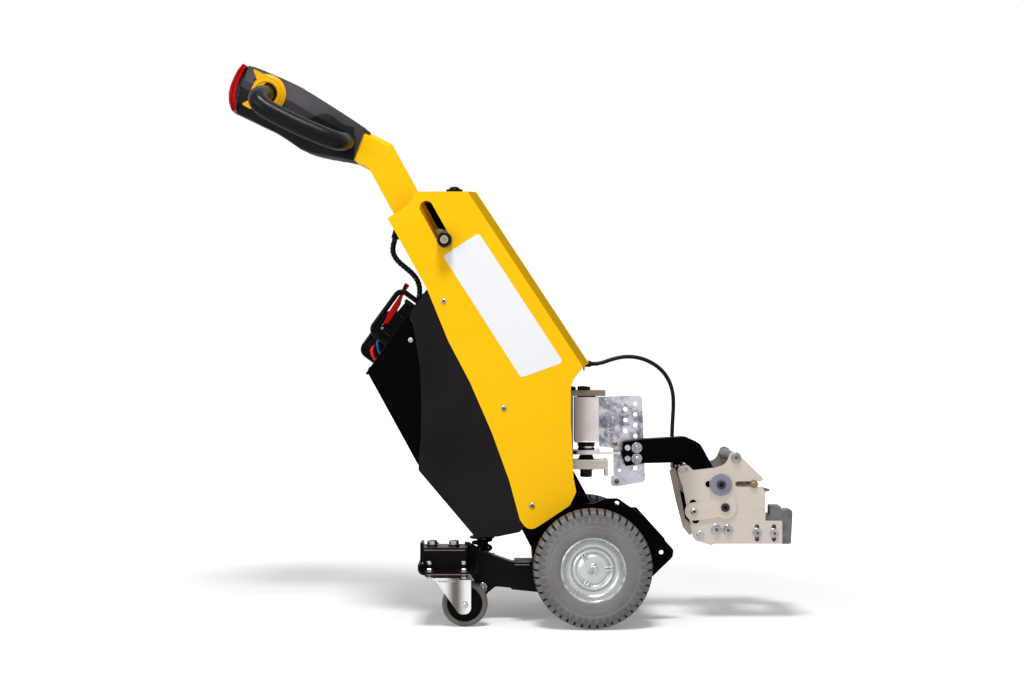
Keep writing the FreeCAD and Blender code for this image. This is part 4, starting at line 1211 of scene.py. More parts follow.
# ---- wheels and frame ------------------------------------------------------------------------
@dataclass
class MainWheels:
    """Block-tread tyres on pressed zinc rims."""

    radius: float = 130.0
    hub_y: float = 165.0
    blocks: int = 46
    slot_share: float = 0.13
    rib_depth: float = 2.0
    rib_span: Pair = (105.0, 122.0)
    slot_foot: float = 112.0
    slot_inside: float = 11.5
    shoulder: float = 33.0
    shoulder_cut: float = 3.2
    wall: Profile = ((68.5, 36.0), (70.5, 39.0), (75, 41.6), (82, 42.5), (90, 42.3),
                     (96, 41.9), (98, 41.0), (100, 41.9), (103, 41.6), (106.5, 40.6),
                     (110, 39.4), (113, 38.3), (116, 37.2), (119, 36.0), (121.5, 34.6),
                     (124, 32.4), (126.2, 29.2), (127.8, 25), (128.9, 20), (129.5, 15.5),
                     (129.8, 12.2), (126.2, 11.0), (126.2, 8.6), (130, 7.4), (130, 2.4),
                     (127, 1.4), (127, 0))
    dish: Profile = ((12, 26.4), (20, 26.2), (26, 25.4), (29.6, 24.2), (32, 21.9), (34.4, 21.0),
                     (36.6, 22.4), (38.6, 25.2), (41.4, 26.4), (44.2, 25.0), (46.4, 21.0),
                     (48.8, 18.6), (53.6, 18.0), (58, 20.0), (61.6, 25.0), (64, 32.0),
                     (65.4, 36.4), (67.0, 38.4), (69.0, 39.0), (70.4, 38.2), (70.4, 36.8),
                     (68.5, 35.8), (67.2, 33), (66.6, 20), (66.4, -20), (67, -33),
                     (68.5, -36), (70.4, -37), (70.4, -38.4), (68.6, -39), (66, -37.5),
                     (64.6, -33), (63.5, -18), (62.8, 12), (58, 15.6), (50, 14.6), (46, 15.4),
                     (40, 20.4), (34, 16.2), (28, 20.8), (17, 22), (17, -32), (12, -32))

    def section(self, cut: bool, valley: bool) -> list[Pair]:
        """The tyre's section at one angle.

        Args:
            cut: Whether a tread slot passes here.
            valley: Whether a fine wall rib dips here.

        Returns:
            (radius, offset) from one bead over the tread to the other, in millimetres.
        """
        half = []
        for radius, offset in self.wall:
            if cut and radius > self.slot_foot and offset > self.slot_inside:
                if offset > self.shoulder:
                    offset -= self.shoulder_cut * min(1.0, (radius - self.slot_foot) / 6)
                    radius = min(radius, 121.0)
                else:
                    radius = min(radius, 121.5 + 0.1 * (self.shoulder - offset))
            elif valley and self.rib_span[0] < radius < self.rib_span[1]:
                offset -= self.rib_depth
            half.append((radius, offset))
        return mirrored(half, 1)

    def tyre(self, side: Side) -> None:
        """Model one tyre with its slots, wall ribs and centre groove.

        Args:
            side: The side of the machine.
        """
        edge = self.slot_share
        phases = [(-edge - 0.02, False, False), (-edge, True, False), (edge, True, False),
                  (edge + 0.02, False, False), (0.30, False, True), (0.40, False, False),
                  (0.52, False, True), (0.62, False, False), (0.74, False, True)]
        loops = []
        for block in range(self.blocks):
            for phase, cut, valley in phases:
                angle = FULL_TURN * (block + phase) / self.blocks
                loops.append([at(radius * math.cos(angle), side.value * self.hub_y + offset,
                                 self.radius + radius * math.sin(angle))
                              for radius, offset in self.section(cut, valley)])
        shape = Shape()
        shape.loft(loops, closed=True, caps=False)
        shape.publish("tyre_tread_" + side.word, Paint.TYRE, "wheel_" + side.word,
                      smooth=42, stands_for=["tyre_" + side.word])

    def rim(self, side: Side) -> None:
        """Model one pressed rim with its three pairs of ribs, hub bolt and drive shaft.

        Args:
            side: The side of the machine.
        """
        out = side.out
        hub = at(0, side.value * self.hub_y, self.radius)
        shape = Shape()
        shape.lathe(self.dish, hub, out, 96, 0, True)
        shape.lathe([(9.8, -107.6), (9.8, 24), (12.1, 24.5), (12.1, 26)], hub, out, 32, 0)
        for third in range(3):
            angle = math.radians(4 + 120 * third)
            ray = spoke(angle)
            across = Vector((-math.sin(angle), 0, math.cos(angle)))
            for offset in (-3.4, 3.4):
                rib = [hub + (ray * r + across * offset + out * h) * MILLIMETRE
                       for r, h in ((26.5, 24.6), (28, 26.0), (30, 26.4), (39, 26.6), (41.5, 26.0),
                                    (43, 24.4))]
                shape.tube(rib, 2.6, 10)
        shape.lathe([(65.6, 37.6), (67.4, 39.4), (69.2, 39.7), (71, 39.0), (71.6, 37.4),
                     (70.4, 36.4)], hub, out, 96, 1, True)
        shape.fastener(Head.HEXAGON, hub + out * 26.2 * MILLIMETRE, out, 9.8, 7.0, 12.8, 1)
        shape.publish("rim_dish_" + side.word, [Paint.RIM, Paint.BRIGHT],
                      "wheel_" + side.word, smooth=30,
                      stands_for=["rim_" + side.word])

    def build(self) -> None:
        """Make both wheels."""
        for side in Side:
            self.tyre(side)
            self.rim(side)


@dataclass
class DriveFrame:
    """The black frame: leaning spine, side gussets, gearbox and motor."""

    motor_x: float = 50.0
    motor_z: float = 224.0
    motor_half: float = 60.0
    motor_radius: float = 24.0
    fins: int = 11
    fin_pitch: float = 7.0
    gusset_y: float = 100.0

    def motor(self) -> None:
        """Model the motor with its end bells, cooling fins and terminal box."""
        centre = at(self.motor_x, 0, self.motor_z)
        r, h = self.motor_radius, self.motor_half
        shape = Shape()
        fins = []
        for step in range(self.fins):
            y = -38 + step * self.fin_pitch
            fins += [(r - 3.4, y), (r - 0.4, y + 0.6), (r - 0.4, y + 2.6), (r - 3.4, y + 3.2)]
        bell = [(6, -h), (r - 9, -h), (r - 4, -h + 3), (r - 1, -h + 12), (r - 1, -44)]
        shape.lathe(bell + fins + [(r - 1, 44), (r - 1, h - 12), (r - 4, h - 3), (r - 9, h),
                                   (6, h)], centre, AXLE, 64)
        shape.block((self.motor_x - 12, self.motor_x + 12), (-50, 50), (200, 206))
        shape.block((self.motor_x + 16, self.motor_x + 30), (-16, 16), (216, 238), 0, 4,
                    Plane.FLOOR)
        for side in Side:
            out = side.out
            for step in range(4):
                angle = math.radians(45 + 90 * step)
                spot = at(self.motor_x + 15 * math.cos(angle), side.value * (h - 0.4),
                          self.motor_z + 15 * math.sin(angle))
                shape.fastener(Head.SOCKET, spot, out, 3.0, 2.4, 0, 1)
        shape.publish("motor_body", [Paint.FRAME, Paint.BLACK_OXIDE], "chassis",
                      stands_for=["motor"])

    def bolts(self) -> None:
        """Put the bolts on the gussets, the deck and the gearbox."""
        shape = Shape()
        for side in Side:
            out = side.out
            y = side.value * (self.gusset_y - 0.1)
            for x, z in ((-112, 132), (-88, 96), (96, 118)):
                shape.fastener(Head.HEXAGON, at(x, y, z), out, 6.6, 4.5, 8.6)
            for x in (-46, 46):
                for z in (98, 182):
                    spot = at(x, side.value * 55.0, z)
                    shape.fastener(Head.SOCKET, spot, out, 5.2, 5.0)
        for x in (-104, 104):
            for y in (-70, 70):
                shape.fastener(Head.BUTTON, at(x, y, 200), UP, 6.5, 4.0)
        for y in (-38, -13, 13, 38):
            for z in (102, 178):
                shape.fastener(Head.SOCKET, at(60, y, z), FORWARD, 4.2, 4.0)
        shape.publish("frame_bolts", Paint.BLACK_OXIDE, "chassis")

    def welds(self) -> None:
        """Lay the weld beads where the spine meets the deck and the gussets."""
        uneven = beads(random.Random(11), 0.82, 0.3)
        shape = Shape()
        for side in Side:
            y = side.value * 45.5
            run = [at(x, y, 201.5) for x in range(-130, -40, 3)]
            shape.tube(run, 2.6, 8, swell=uneven)
            edge = [at(x, side.value * 94.4, 201.2) for x in range(-118, 119, 3)]
            shape.tube(edge, 2.4, 8, swell=uneven)
        shape.publish("frame_welds", Paint.FRAME, "chassis", smooth=70)

    def build(self) -> None:
        """Dress the frame and add what is bolted and welded to it."""
        dress(Paint.FRAME, "spine", "deck", "drive_unit", *both("gusset"), edge=0.9)
        self.motor()
        self.bolts()
        self.welds()


@dataclass
class RearCarriage:
    """The low arm with its spring, cross beam and two swivel casters."""

    swivel_x: float = -318.0
    axle_x: float = -279.0
    caster_y: float = 140.0
    wheel_radius: float = 50.0
    bolt_reach: float = 37.5
    beam_reach: float = 132.0
    spring_x: float = -244.0
    spring_low: float = 134.0
    spring_high: float = 176.0
    coil_radius: float = 20.0
    wire_radius: float = 3.9
    coils: float = 2.39
    coil_start: float = 314.6
    spring_steps: int = 140

    def spring(self) -> None:
        """Wind the coil spring round its brass rod."""
        low = self.spring_low + self.wire_radius
        high = self.spring_high - self.wire_radius
        points = []
        for share in share_of(self.spring_steps):
            turn = FULL_TURN * self.coils * share + math.radians(self.coil_start)
            eased = min(1.0, max(0.0, (share * self.coils - 0.5) / (self.coils - 1.0)))
            points.append(at(self.spring_x + self.coil_radius * math.cos(turn),
                             self.coil_radius * math.sin(turn), low + (high - low) * eased))
        shape = Shape()
        shape.tube(points, self.wire_radius, 14)
        shape.publish("coil_spring", Paint.FRAME, "chassis", smooth=80,
                      stands_for=["spring"])
        cup = Shape()
        place = at(self.spring_x, 0, 0)
        cup.lathe([(6.4, 175.7), (27, 175.7), (28.4, 176.6), (28.4, 179.8), (27, 180.4),
                   (20.8, 180.8), (20.4, 189.4), (8, 189.4)], place, UP, 48)
        cup.lathe([(20, 128.6), (27, 129), (27, 133.2), (8.6, 133.4), (8.6, 128.6)], place,
                  UP, 48)
        cup.block((self.spring_x - 11, self.spring_x - 5.6), (-8, 8), (133, 176))
        cup.block((self.spring_x + 5.6, self.spring_x + 14), (-8, 8), (133, 176))
        cup.lathe([(5.4, 133.4), (5.4, 175.8)], place, UP, 32, 1)
        cup.publish("spring_cups", [Paint.BEAM, Paint.BRASS], "chassis")

    def fork(self, side: Side) -> None:
        """Add the swivel race, kingpin and axle nuts of one fork.

        Args:
            side: The side of the machine.
        """
        shape = Shape()
        y = side.value * self.caster_y
        shape.lathe([(24, 99.2), (28.4, 99.4), (30, 101.4), (30, 103.4), (26, 103.6)],
                    at(self.swivel_x, y, 0), UP, 48)
        shape.fastener(Head.NUT, at(self.swivel_x, y, 99.5), -UP, 9.5, 5.0, 12.0)
        for sign in (-1, 1):
            out = Vector((0, sign, 0))
            shape.fastener(Head.NUT, at(self.axle_x, y + sign * 23.2, self.wheel_radius), out,
                           8.6, 3.8, 0, 0)
        shape.publish("fork_fittings_" + side.word, Paint.BRIGHT, "caster_" + side.word)

    def wheel(self, side: Side) -> None:
        """Model one caster wheel: grey tread on a black core.

        Args:
            side: The side of the machine.
        """
        shape = Shape()
        out = side.out
        hub = at(self.axle_x, side.value * self.caster_y, self.wheel_radius)
        tread = [(38, 11.5), (39.5, 13.6), (42, 14.8), (44.6, 15), (47.4, 13.6), (49.2, 10.8),
                 (49.8, 7), (50, 0)]
        shape.lathe(mirrored(tread, 1), hub, out, 96, 0, True)
        core = [(5.4, 19), (11, 19), (12, 18), (13, 13.6), (17, 10.4), (26, 9.6), (29.4, 10.4),
                (30.2, 12), (31.8, 12), (32.6, 10.2), (35, 10.0), (36.2, 12.8), (37.6, 13.2),
                (38.4, 12)]
        shape.lathe(mirrored(core), hub, out, 96, 1, True)
        for step in range(10):
            angle = FULL_TURN * step / 10
            ray = spoke(angle)
            for sign in (-1, 1):
                rib = [hub + (ray * r + out * sign * h) * MILLIMETRE
                       for r, h in ((12.6, 13), (20, 10.6), (29, 10.4))]
                shape.tube(rib, 1.3, 8, 1)
        shape.publish("caster_wheel_rim_" + side.word, [Paint.CASTER_TREAD, Paint.CASTER_CORE],
                      "caster_wheel_" + side.word, smooth=34,
                      stands_for=["caster_wheel_" + side.word])

    def beam_bolts(self) -> None:
        """Put the caster plate bolts, beam bolts and arm bolts in place."""
        shape = Shape()
        for side in Side:
            y = side.value * self.caster_y
            for dx in (-self.bolt_reach, self.bolt_reach):
                for dy in (-28, 28):
                    spot = at(self.swivel_x + dx, y + dy, 122)
                    under = at(self.swivel_x + dx, y + dy, 117)
                    shape.fastener(Head.HEXAGON, under, -UP, 8.4, 7.0, 9.8)
                    if abs(y + dy) < self.beam_reach:
                        continue
                    shape.fastener(Head.NUT, spot, UP, 7.4, 6.0, 9.4)
                    shape.lathe([(3.9, 0), (3.9, 18)], spot, UP, 20, 1)
                    shape.lathe([(3.9, 16.6), (5.8, 17), (5.8, 22.4), (4.2, 24), (0, 24.4)],
                                spot, UP, 24, 0)
            out = side.out
            shape.fastener(Head.HEXAGON, at(-242, side.value * 66, 73), out, 8.2, 6.5,
                           11.0, 0)
            shape.fastener(Head.SOCKET, at(-54, side.value * 66, 100), out, 11, 6, 14, 1)
        for x in (-353.3, -305):
            shape.lathe([(12.6, 0), (13.4, 0.6), (13.4, 2.2), (9, 2.4)], at(x, -91, 170), UP, 40, 1)
            shape.fastener(Head.HEXAGON, at(x, -91, 172.2), UP, 11.0, 10.0)
        shape.publish("carriage_bolts", [Paint.BRIGHT, Paint.BLACK_OXIDE], "chassis")
        plate = Shape()
        for side in Side:
            y = side.value * self.caster_y
            plate.block((-366, -270), (y - 37, y + 37), (112.6, 116.8), 0, 7, Plane.FLOOR)
        plate.publish("caster_plates", Paint.BLACK_OXIDE, "chassis", edge=0.7)

    def stop(self) -> None:
        """Add the stop plate on the arm and strips of painted highlight on the black sheets' edges.
        """
        block = Shape()
        block.prism([(-171, -132, 2), (-136, -132), (-136, -117), (-100, -117), (-100, -49),
                     (-171, -49)], 131, 137, Plane.FLOOR)
        block.publish("arm_stop", Paint.FRAME, "chassis", edge=0.8)
        # Strips of painted highlight on the edges of the stop, the beam's flange and its trough.
        edges = Shape()
        edges.block((-170, -137), (-132.5, -131.8), (131.8, 133.8))
        edges.block((-369, -279), (-132.5, -131.8), (163.6, 165.6))
        edges.block((-362, -266), (-184.5, -183.8), (117.6, 119.4))
        edges.publish("edge_highlights", Paint.EDGE_HIGHLIGHT, "chassis", edge=0.25)

    def build(self) -> None:
        """Dress the carriage and add its detail."""
        dress(Paint.REAR, "rear_arm", edge=0.9)
        dress(Paint.BEAM, "caster_beam", edge=1.2)
        dress(Paint.BRASS, "spring_rod", edge=0.5)
        dress(Paint.FORK, *both("caster_fork"), edge=1.0)
        self.spring()
        self.beam_bolts()
        self.stop()
        for side in Side:
            self.fork(side)
            self.wheel(side)


# ---- covers and battery ------------------------------------------------------------------------
@dataclass
class Covers:
    """The yellow folded cover and the charcoal lower cover."""

    side_y: float = 115.0
    film: float = 0.5
    label: tuple = ((-328.2, 813.0, 8), (-249.1, 863.9, 8), (-61.8, 577.6, 8),
                    (-155.8, 543.8, 8))
    screws: tuple = ((-326.9, 713.8), (-194.0, 476.5), (-131.7, 261.2))

    def labels(self) -> None:
        """Put a blank white label on each side."""
        for side in Side:
            shape = Shape()
            near = side.value * self.side_y
            shape.prism(self.label, near, near + side.value * self.film)
            shape.publish("side_label_" + side.word, Paint.LABEL, "chassis",
                          edge=0.15)

    def fittings(self) -> None:
        """Put in the side screws, the top cap and a sheet of painted shade behind the clamp slot.
        """
        shape = Shape()
        for side in Side:
            out = side.out
            for x, z in self.screws:
                shape.fastener(Head.BUTTON, at(x, side.value * self.side_y, z), out, 6.6, 3.6,
                               0, 0, 1)
        shape.publish("cover_screws", [Paint.BRIGHT, Paint.DARK_STEEL], "chassis",
                      smooth=30)
        cap = Shape()
        cap.lathe([(18.2, 955.2), (18.9, 956), (18.9, 969), (17.8, 970.6), (12.6, 971.2),
                   (11.6, 973.4), (9.6, 975.6), (5, 976.8), (0, 977)], at(-307, 0, 0),
                  UP, 64)
        cap.publish("top_cap", Paint.PLUG, "chassis", smooth=40)
        # A black sheet of painted shade inside the far panel, seen through the clamp slot.
        shade_sheet = Shape()
        shade_sheet.block((-392, -284), (111.2, 112.2), (800, 950))
        shade_sheet.publish("slot_painted_shade", Paint.HOLLOW, "chassis")

    def build(self) -> None:
        """Dress the sheets and add what is on them."""
        dress(Paint.YELLOW, *both("cover_panel"), "cover_back", edge=0.8)
        # The front sheet's bevels carry painted shade.
        dress(Paint.YELLOW_SHADED_BEVELS, "cover_front", edge=0.8)
        dress(Paint.CHARCOAL, *both("rear_cover"), "rear_cover_back", edge=0.8)
        self.labels()
        self.fittings()


@dataclass
class BatteryBox:
    """The black battery box with its bails, quick-release plug and red lever."""

    plug_low: float = 90.0
    plug_high: float = 184.0
    plug_right: float = -36.0
    plug_left: float = 12.0
    side_y: float = 105.0

    def along_lid(self, shape: Shape, corners: Sequence[Pair], right: float,
                  left: float, finish: int = 0) -> None:
        """Add a prism drawn in the lid's own along and out.

        Args:
            shape: The mesh.
            corners: (along, out) in millimetres.
            right: Its lowest Y.
            left: Its highest Y.
            finish: Number of its finish.
        """
        loops = [[at(*on_lid(along, out, y)) for along, out in corners] for y in (right, left)]
        shape.loft(loops, finish)

    def on_top(self, shape: Shape, along: Pair, out: Pair,
               y: Pair, finish: int = 0) -> None:
        """Add a bar between the low and high value of each of the lid's own directions."""
        self.along_lid(shape, [(along[0], out[0]), (along[1], out[0]), (along[1], out[1]),
                               (along[0], out[1])], *y, finish)

    def plug(self) -> None:
        """Model the ribbed plug body."""
        shape = Shape()
        low, high = self.plug_low, self.plug_high
        right, left = self.plug_right, self.plug_left
        self.along_lid(shape, [(low, 0), (high, 0), (high, 24), (high - 6, 26.5),
                               (152, 28), (low + 2, 28), (low, 26)], right + 1.6, left - 1.6)
        for start, end in ((low, low + 5), (108, 111), (126, 129), (146, 151),
                           (high - 8, high)):
            self.on_top(shape, (start, end), (0, 29.4), (right, left))
        self.along_lid(shape, [(72, 0), (101, 0), (101, 30), (96, 42), (74, 42)], right + 1,
                       left - 1)
        self.along_lid(shape, [(28, 0), (132, 0), (128, 40), (40, 45), (28, 38)], 12, 42)
        for y in (-27, -15, -3):
            self.on_top(shape, (low + 5, 150), (28, 30), (y - 2, y + 2))
        for y in (-33, -1):
            self.along_lid(shape, [(100, 28), (114, 28), (112, 36), (102, 36)], y, y + 4)
        # Thin strips of painted highlight along the fins' edges.
        for along in (93.5, 145, 178.5):
            self.on_top(shape, (along, along + 1.6), (9, 27), (right - 0.7, right + 2), 1)
        shape.publish("plug_body", [Paint.PLUG, Paint.RIDGE_HIGHLIGHT], "chassis", edge=0.4,
                      stands_for=["connector"])
        pin = Shape()
        place = at(*on_lid(98, 34, -33.2))
        pin.fastener(Head.PIN, place, NEAR, 3.1, 2.2)
        pin.publish("plug_rivet", Paint.BRIGHT, "chassis")

    def lever(self) -> None:
        """Model the red ladder-shaped release lever."""
        shape = Shape()
        arm = [(106, 30.6), (139, 30.4), (166, 35), (185, 41), (210, 45), (209, 52), (178, 46),
               (145, 45), (107, 38.5)]
        for right, left in ((-30, -24.5), (-5.5, 0)):
            self.along_lid(shape, arm, right, left)
        self.along_lid(shape, [(106, 31), (114, 31), (114, 38.5), (107, 37.5)], -26, -4)
        self.along_lid(shape, [(139, 30.6), (166, 34.4), (184, 41), (178, 45.4), (146, 44.4)],
                       -29, -1)
        self.along_lid(shape, [(196, 42.4), (213, 43.4), (212, 53.4), (196, 50)], -30, 0)
        shape.publish("release_lever", Paint.RED_LEVER, "chassis", edge=0.8,
                      stands_for=["connector_lever"])

    def details(self) -> None:
        """Add the case rivets, lid screws and bail feet."""
        shape = Shape()
        for side in Side:
            out = side.out
            for x, z in ((-400.5, 627.3), (-342, 520)):
                shape.fastener(Head.PIN, at(x, side.value * self.side_y, z), out, 5.4, 2.0)
        shape.publish("case_rivets", Paint.BRIGHT, "chassis", smooth=30)
        feet = Shape()
        for start, y in ((78.5, -62), (22.5, 62)):
            for along in (start, start + 116):
                feet.lathe([(9.4, 0), (9.4, 2.6), (8.4, 3.8), (6.2, 4.2)],
                           at(*on_lid(along, 0, y)), LID_OUT, 28)
        for along, y in ((12, -92), (12, 30), (214, -92), (214, 92), (120, 92)):
            feet.fastener(Head.BUTTON, at(*on_lid(along, 0, y)), LID_OUT, 4.6, 2.6, 0, 1)
        feet.publish("lid_fittings", [Paint.TUBE, Paint.BLACK_OXIDE], "chassis")

    def build(self) -> None:
        """Dress the box and add its fittings."""
        dress(Paint.BATTERY, "battery_case", "battery_lid", edge=1.2)
        dress(Paint.PLUG, "battery_cells", "rear_gland", "front_gland", edge=0.6)
        dress(Paint.TUBE, *both("bail"))
        self.plug()
        self.lever()
        self.details()


# ---- tiller ------------------------------------------------------------------------------------
@dataclass
class Tiller:
    """The sliding mast, its clamp and the moulded head with its controls."""

    half_width: float = 55.0
    button_half: float = 47.0
    knob: Pair = (-324.4, 847.7)
    side_y: float = 115.0
    throttle: Pair = (-728.0, 1180.0)
    sweep_start: float = -51.0
    sweep_step: float = 4.0
    sweep_loops: int = 55
    thinning_from: int = 36
    grip_radius: float = 20.4
    paddle: Profile = ((44.4, 0), (45, 1), (44.8, 3.4), (43.4, 5.4), (37, 8.4), (35.6, 8.2),
                       (35, 7.4), (34.2, 8.2), (33.6, 9.8), (30, 11.2), (27, 11.2), (25, 9.4),
                       (24.6, 6), (24.6, 0))
    stations: tuple = (
        ((-777.5, 1243.6), (-800.0, 1141.5), 0.86, 0.84),
        ((-770.5, 1248.6), (-794.0, 1139.0), 0.94, 0.92),
        ((-756.0, 1244.8), (-776.0, 1130.4), 0.99, 0.98),
        ((-735.0, 1236.5), (-753.5, 1119.7), 1.0, 1.0),
        ((-697.6, 1220.6), (-722.0, 1105.5), 1.0, 0.99),
        ((-665.0, 1205.2), (-690.0, 1085.5), 1.0, 0.93),
        ((-630.0, 1186.0), (-660.0, 1064.5), 0.98, 0.86),
        ((-595.0, 1163.6), (-628.0, 1051.0), 0.95, 0.82),
        ((-560.0, 1140.8), (-590.0, 1042.6), 0.91, 0.84),
        ((-525.0, 1118.0), (-552.0, 1037.0), 0.88, 0.84),
        ((-510.0, 1108.0), (-538.0, 1034.0), 0.86, 0.84),
        ((-506.0, 1105.4), (-533.0, 1033.0), 0.84, 0.82))

    def shell(self) -> None:
        """Model the head's moulded shell from sections along it."""
        loops = []
        for number, (top, bottom, wide, waist) in enumerate(self.stations):
            square = min(1.0, max(0.0, (number - 6) / 2.0))
            high = Vector((top[0], 0, top[1]))
            low = Vector((bottom[0], 0, bottom[1]))
            half = self.half_width * wide
            mid = self.half_width * waist
            foot = (0.50 + 0.44 * square) * half
            crest = (0.60 + 0.32 * square) * half
            corners = [(foot, 0.0, 0.05), (max(foot, 0.93 * mid), 0.20, 0.12), (mid, 0.46, 0.10),
                       (0.98 * half, 0.66, 0.06), (crest, 1.0, 0.05)]
            ring = corners + [(-y, t, r) for y, t, r in reversed(corners)]
            tall = (high - low).length
            flat = rounded([(y, t * tall, r * tall) for y, t, r in ring], 4)
            loops.append([at(*(low + (high - low) * (rise / tall) + Vector((0, y, 0))))
                          for y, rise in flat])
        shape = Shape()
        shape.loft(loops)
        shape.publish("head_housing", Paint.HEAD, "tiller", smooth=24,
                      stands_for=["head_shell"])
        self.lower_shell()

    def lower_shell(self) -> None:
        """Add the dark under-shell, the strip on top, the neck's lips and the side seams."""
        under = Shape()
        under.prism([(-792, 1142, 4), (-753, 1119.2, 6), (-696, 1092.6, 8), (-640, 1054.8, 18),
                     (-609, 1045.3, 24), (-574, 1040.7, 24), (-528, 1033.2, 4),
                     (-533, 1048, 6), (-600, 1064, 20), (-668, 1100, 20), (-756, 1148, 8),
                     (-786, 1160, 4)], -30, 30)
        under.publish("head_under_shell", Paint.HEAD_DARK, "tiller", edge=3.0)
        strip = Shape()
        strip.prism([(-699, 1217, 1), (-646.5, 1192.4, 1), (-646, 1197.4, 1), (-697.6, 1221.6, 1)],
                    -27, 27)
        strip.publish("head_strip", Paint.THROTTLE, "tiller", edge=0.6)
        lips = Shape()
        lips.prism([(-548, 1129, 3), (-497, 1098, 4), (-492, 1090.5, 2), (-505, 1095, 3),
                    (-548, 1122)], -40, 40)
        lips.prism([(-574, 1040.8, 4), (-521, 1029.4, 3), (-518, 1034, 2), (-530, 1038, 3),
                    (-574, 1046)], -38, 38)
        lips.publish("neck_lips", Paint.HEAD, "tiller", edge=1.2)
        seam = Shape()
        for side in Side:
            y = side.value * 53.2
            seam.tube([at(x, y * k, z) for x, z, k in (
                (-797, 1187, 0.86), (-770, 1177, 0.97), (-748, 1168, 1.0))], 0.8, 6)
        seam.publish("head_seam", Paint.HEAD_DARK, "tiller")

    def button(self) -> None:
        """Model the red crescent button with its groove."""
        outer = [(-784, 1252), (-795, 1237), (-803.5, 1221), (-811, 1203), (-815, 1187.2),
                 (-815.4, 1174), (-814.6, 1163), (-809.5, 1146)]
        inner = [(-774.0, 1246.5), (-781.5, 1232.5), (-788.5, 1217.5), (-794, 1203),
                 (-797.2, 1190), (-799, 1176), (-800, 1163), (-799, 1146)]
        section = [(0.0, 1.0), (0.30, 1.0), (0.42, 0.985), (0.47, 0.94), (0.52, 0.94),
                   (0.57, 0.985), (0.84, 0.97), (0.96, 0.92), (1.0, 0.84), (1.0, 0.4)]
        ring = mirrored(section)
        loops = []
        for i, (far, near) in enumerate(zip(outer, inner)):
            thin = 0.90 if i in (0, len(outer) - 1) else 1.0
            loops.append([at(near[0] + (far[0] - near[0]) * d, y * self.button_half * thin,
                             near[1] + (far[1] - near[1]) * d) for d, y in ring])
        shape = Shape()
        shape.loft(loops)
        shape.publish("belly_switch", Paint.RED_BUTTON, "tiller", edge=1.2,
                      smooth=50, stands_for=["belly_button"])

    def throttles(self) -> None:
        """Model the two yellow thumb throttles with their wings."""
        x, z = self.throttle
        for side in Side:
            out = side.out
            hub = at(x, side.value * (self.half_width - 0.5), z)
            shape = Shape()
            loops = []
            for step in range(self.sweep_loops):
                turn = math.radians(self.sweep_start + self.sweep_step * step)
                reach = 45.0 - 11.5 * min(1.0, max(0.0, (step - self.thinning_from) / 14))
                ray = spoke(turn)
                loops.append([hub + (ray * min(r, reach) + out * h) * MILLIMETRE
                              for r, h in self.paddle])
            shape.loft(loops)
            y = (side.value * self.half_width, side.value * (self.half_width + 9.5))
            shape.prism([(-757, 1236.5, 2), (-742, 1229), (-715, 1214), (-745, 1190),
                         (-748, 1212)], *y)
            shape.prism([(-783.5, 1157, 3), (-766, 1165.5), (-742, 1172), (-738, 1146),
                         (-765, 1147)], *y)
            shape.publish("thumb_throttle_" + side.word, Paint.THROTTLE, "tiller",
                          edge=1.0, smooth=30,
                          stands_for=["throttle_" + side.word])

    def grips(self) -> None:
        """Model the two looped hand grips in black rubber."""
        x, z = self.throttle
        for side in Side:
            s = side.value
            controls = [(x + 2, s * 52, z + 1), (x - 2, s * 96, z - 5), (x - 14, s * 134, z - 18),
                        (x + 2, s * 141, z - 40), (x + 40, s * 141, z - 60),
                        (x + 88, s * 140, z - 84), (x + 136, s * 138, z - 104),
                        (x + 168, s * 132, z - 116), (x + 180, s * 96, z - 112),
                        (x + 180, s * 46, z - 104)]
            shape = Shape()
            shape.tube(follow("grip", [at(*control) for control in controls], 4, 10),
                       self.grip_radius, 32,
                       swell=lambda share, angle: 1.0 + 0.05 * math.sin(math.pi * share))
            shape.publish("hand_grip_" + side.word, Paint.GRIP, "tiller",
                          smooth=80, stands_for=["grip_" + side.word])

    def clamp(self) -> None:
        """Model the clamp block in the mast with its bar and the hand knob on the right."""
        x, z = self.knob
        shape = Shape()
        # The bar, sleeve and block are bronze as a painted reflection of the yellow mast on dark
        # metal.
        shape.lathe([(6.8, -149), (6.8, -38)], at(x, 0, z), -NEAR, 24, 2)
        shape.lathe([(11.6, -110), (12.6, -108.6), (12.6, -41), (11, -39)], at(x, 0, z), -NEAR,
                    40, 2)
        shape.lathe([(8, 2.4), (15.2, 2.4), (16.6, 4), (16.6, 30.8), (15.4, 33), (13.6, 34),
                     (11.4, 34), (10.4, 33), (10.2, 29), (8, 29)],
                    at(x, -self.side_y, z), NEAR, 56, 0, True)
        shape.fastener(Head.SOCKET, at(x, -self.side_y - 28.8, z), NEAR, 9.4, 4.6, 0, 1, 1)
        corners = [lean(58, -105.6), lean(90, -105.6), lean(90, -92), lean(72, -76),
                   lean(58, -76)]
        shape.prism([(point.x, point.z) for point in corners], -39, 39, Plane.SIDE, 2)
        shape.publish("mast_clamp", [Paint.GRIP, Paint.BRIGHT, Paint.BRONZE], "tiller",
                      smooth=32, stands_for=["clamp_bar"])

    def build(self) -> None:
        """Dress the mast and make the head."""
        dress(Paint.YELLOW, "mast", edge=1.0)
        self.clamp()
        self.shell()
        self.button()
        self.throttles()
        self.grips()


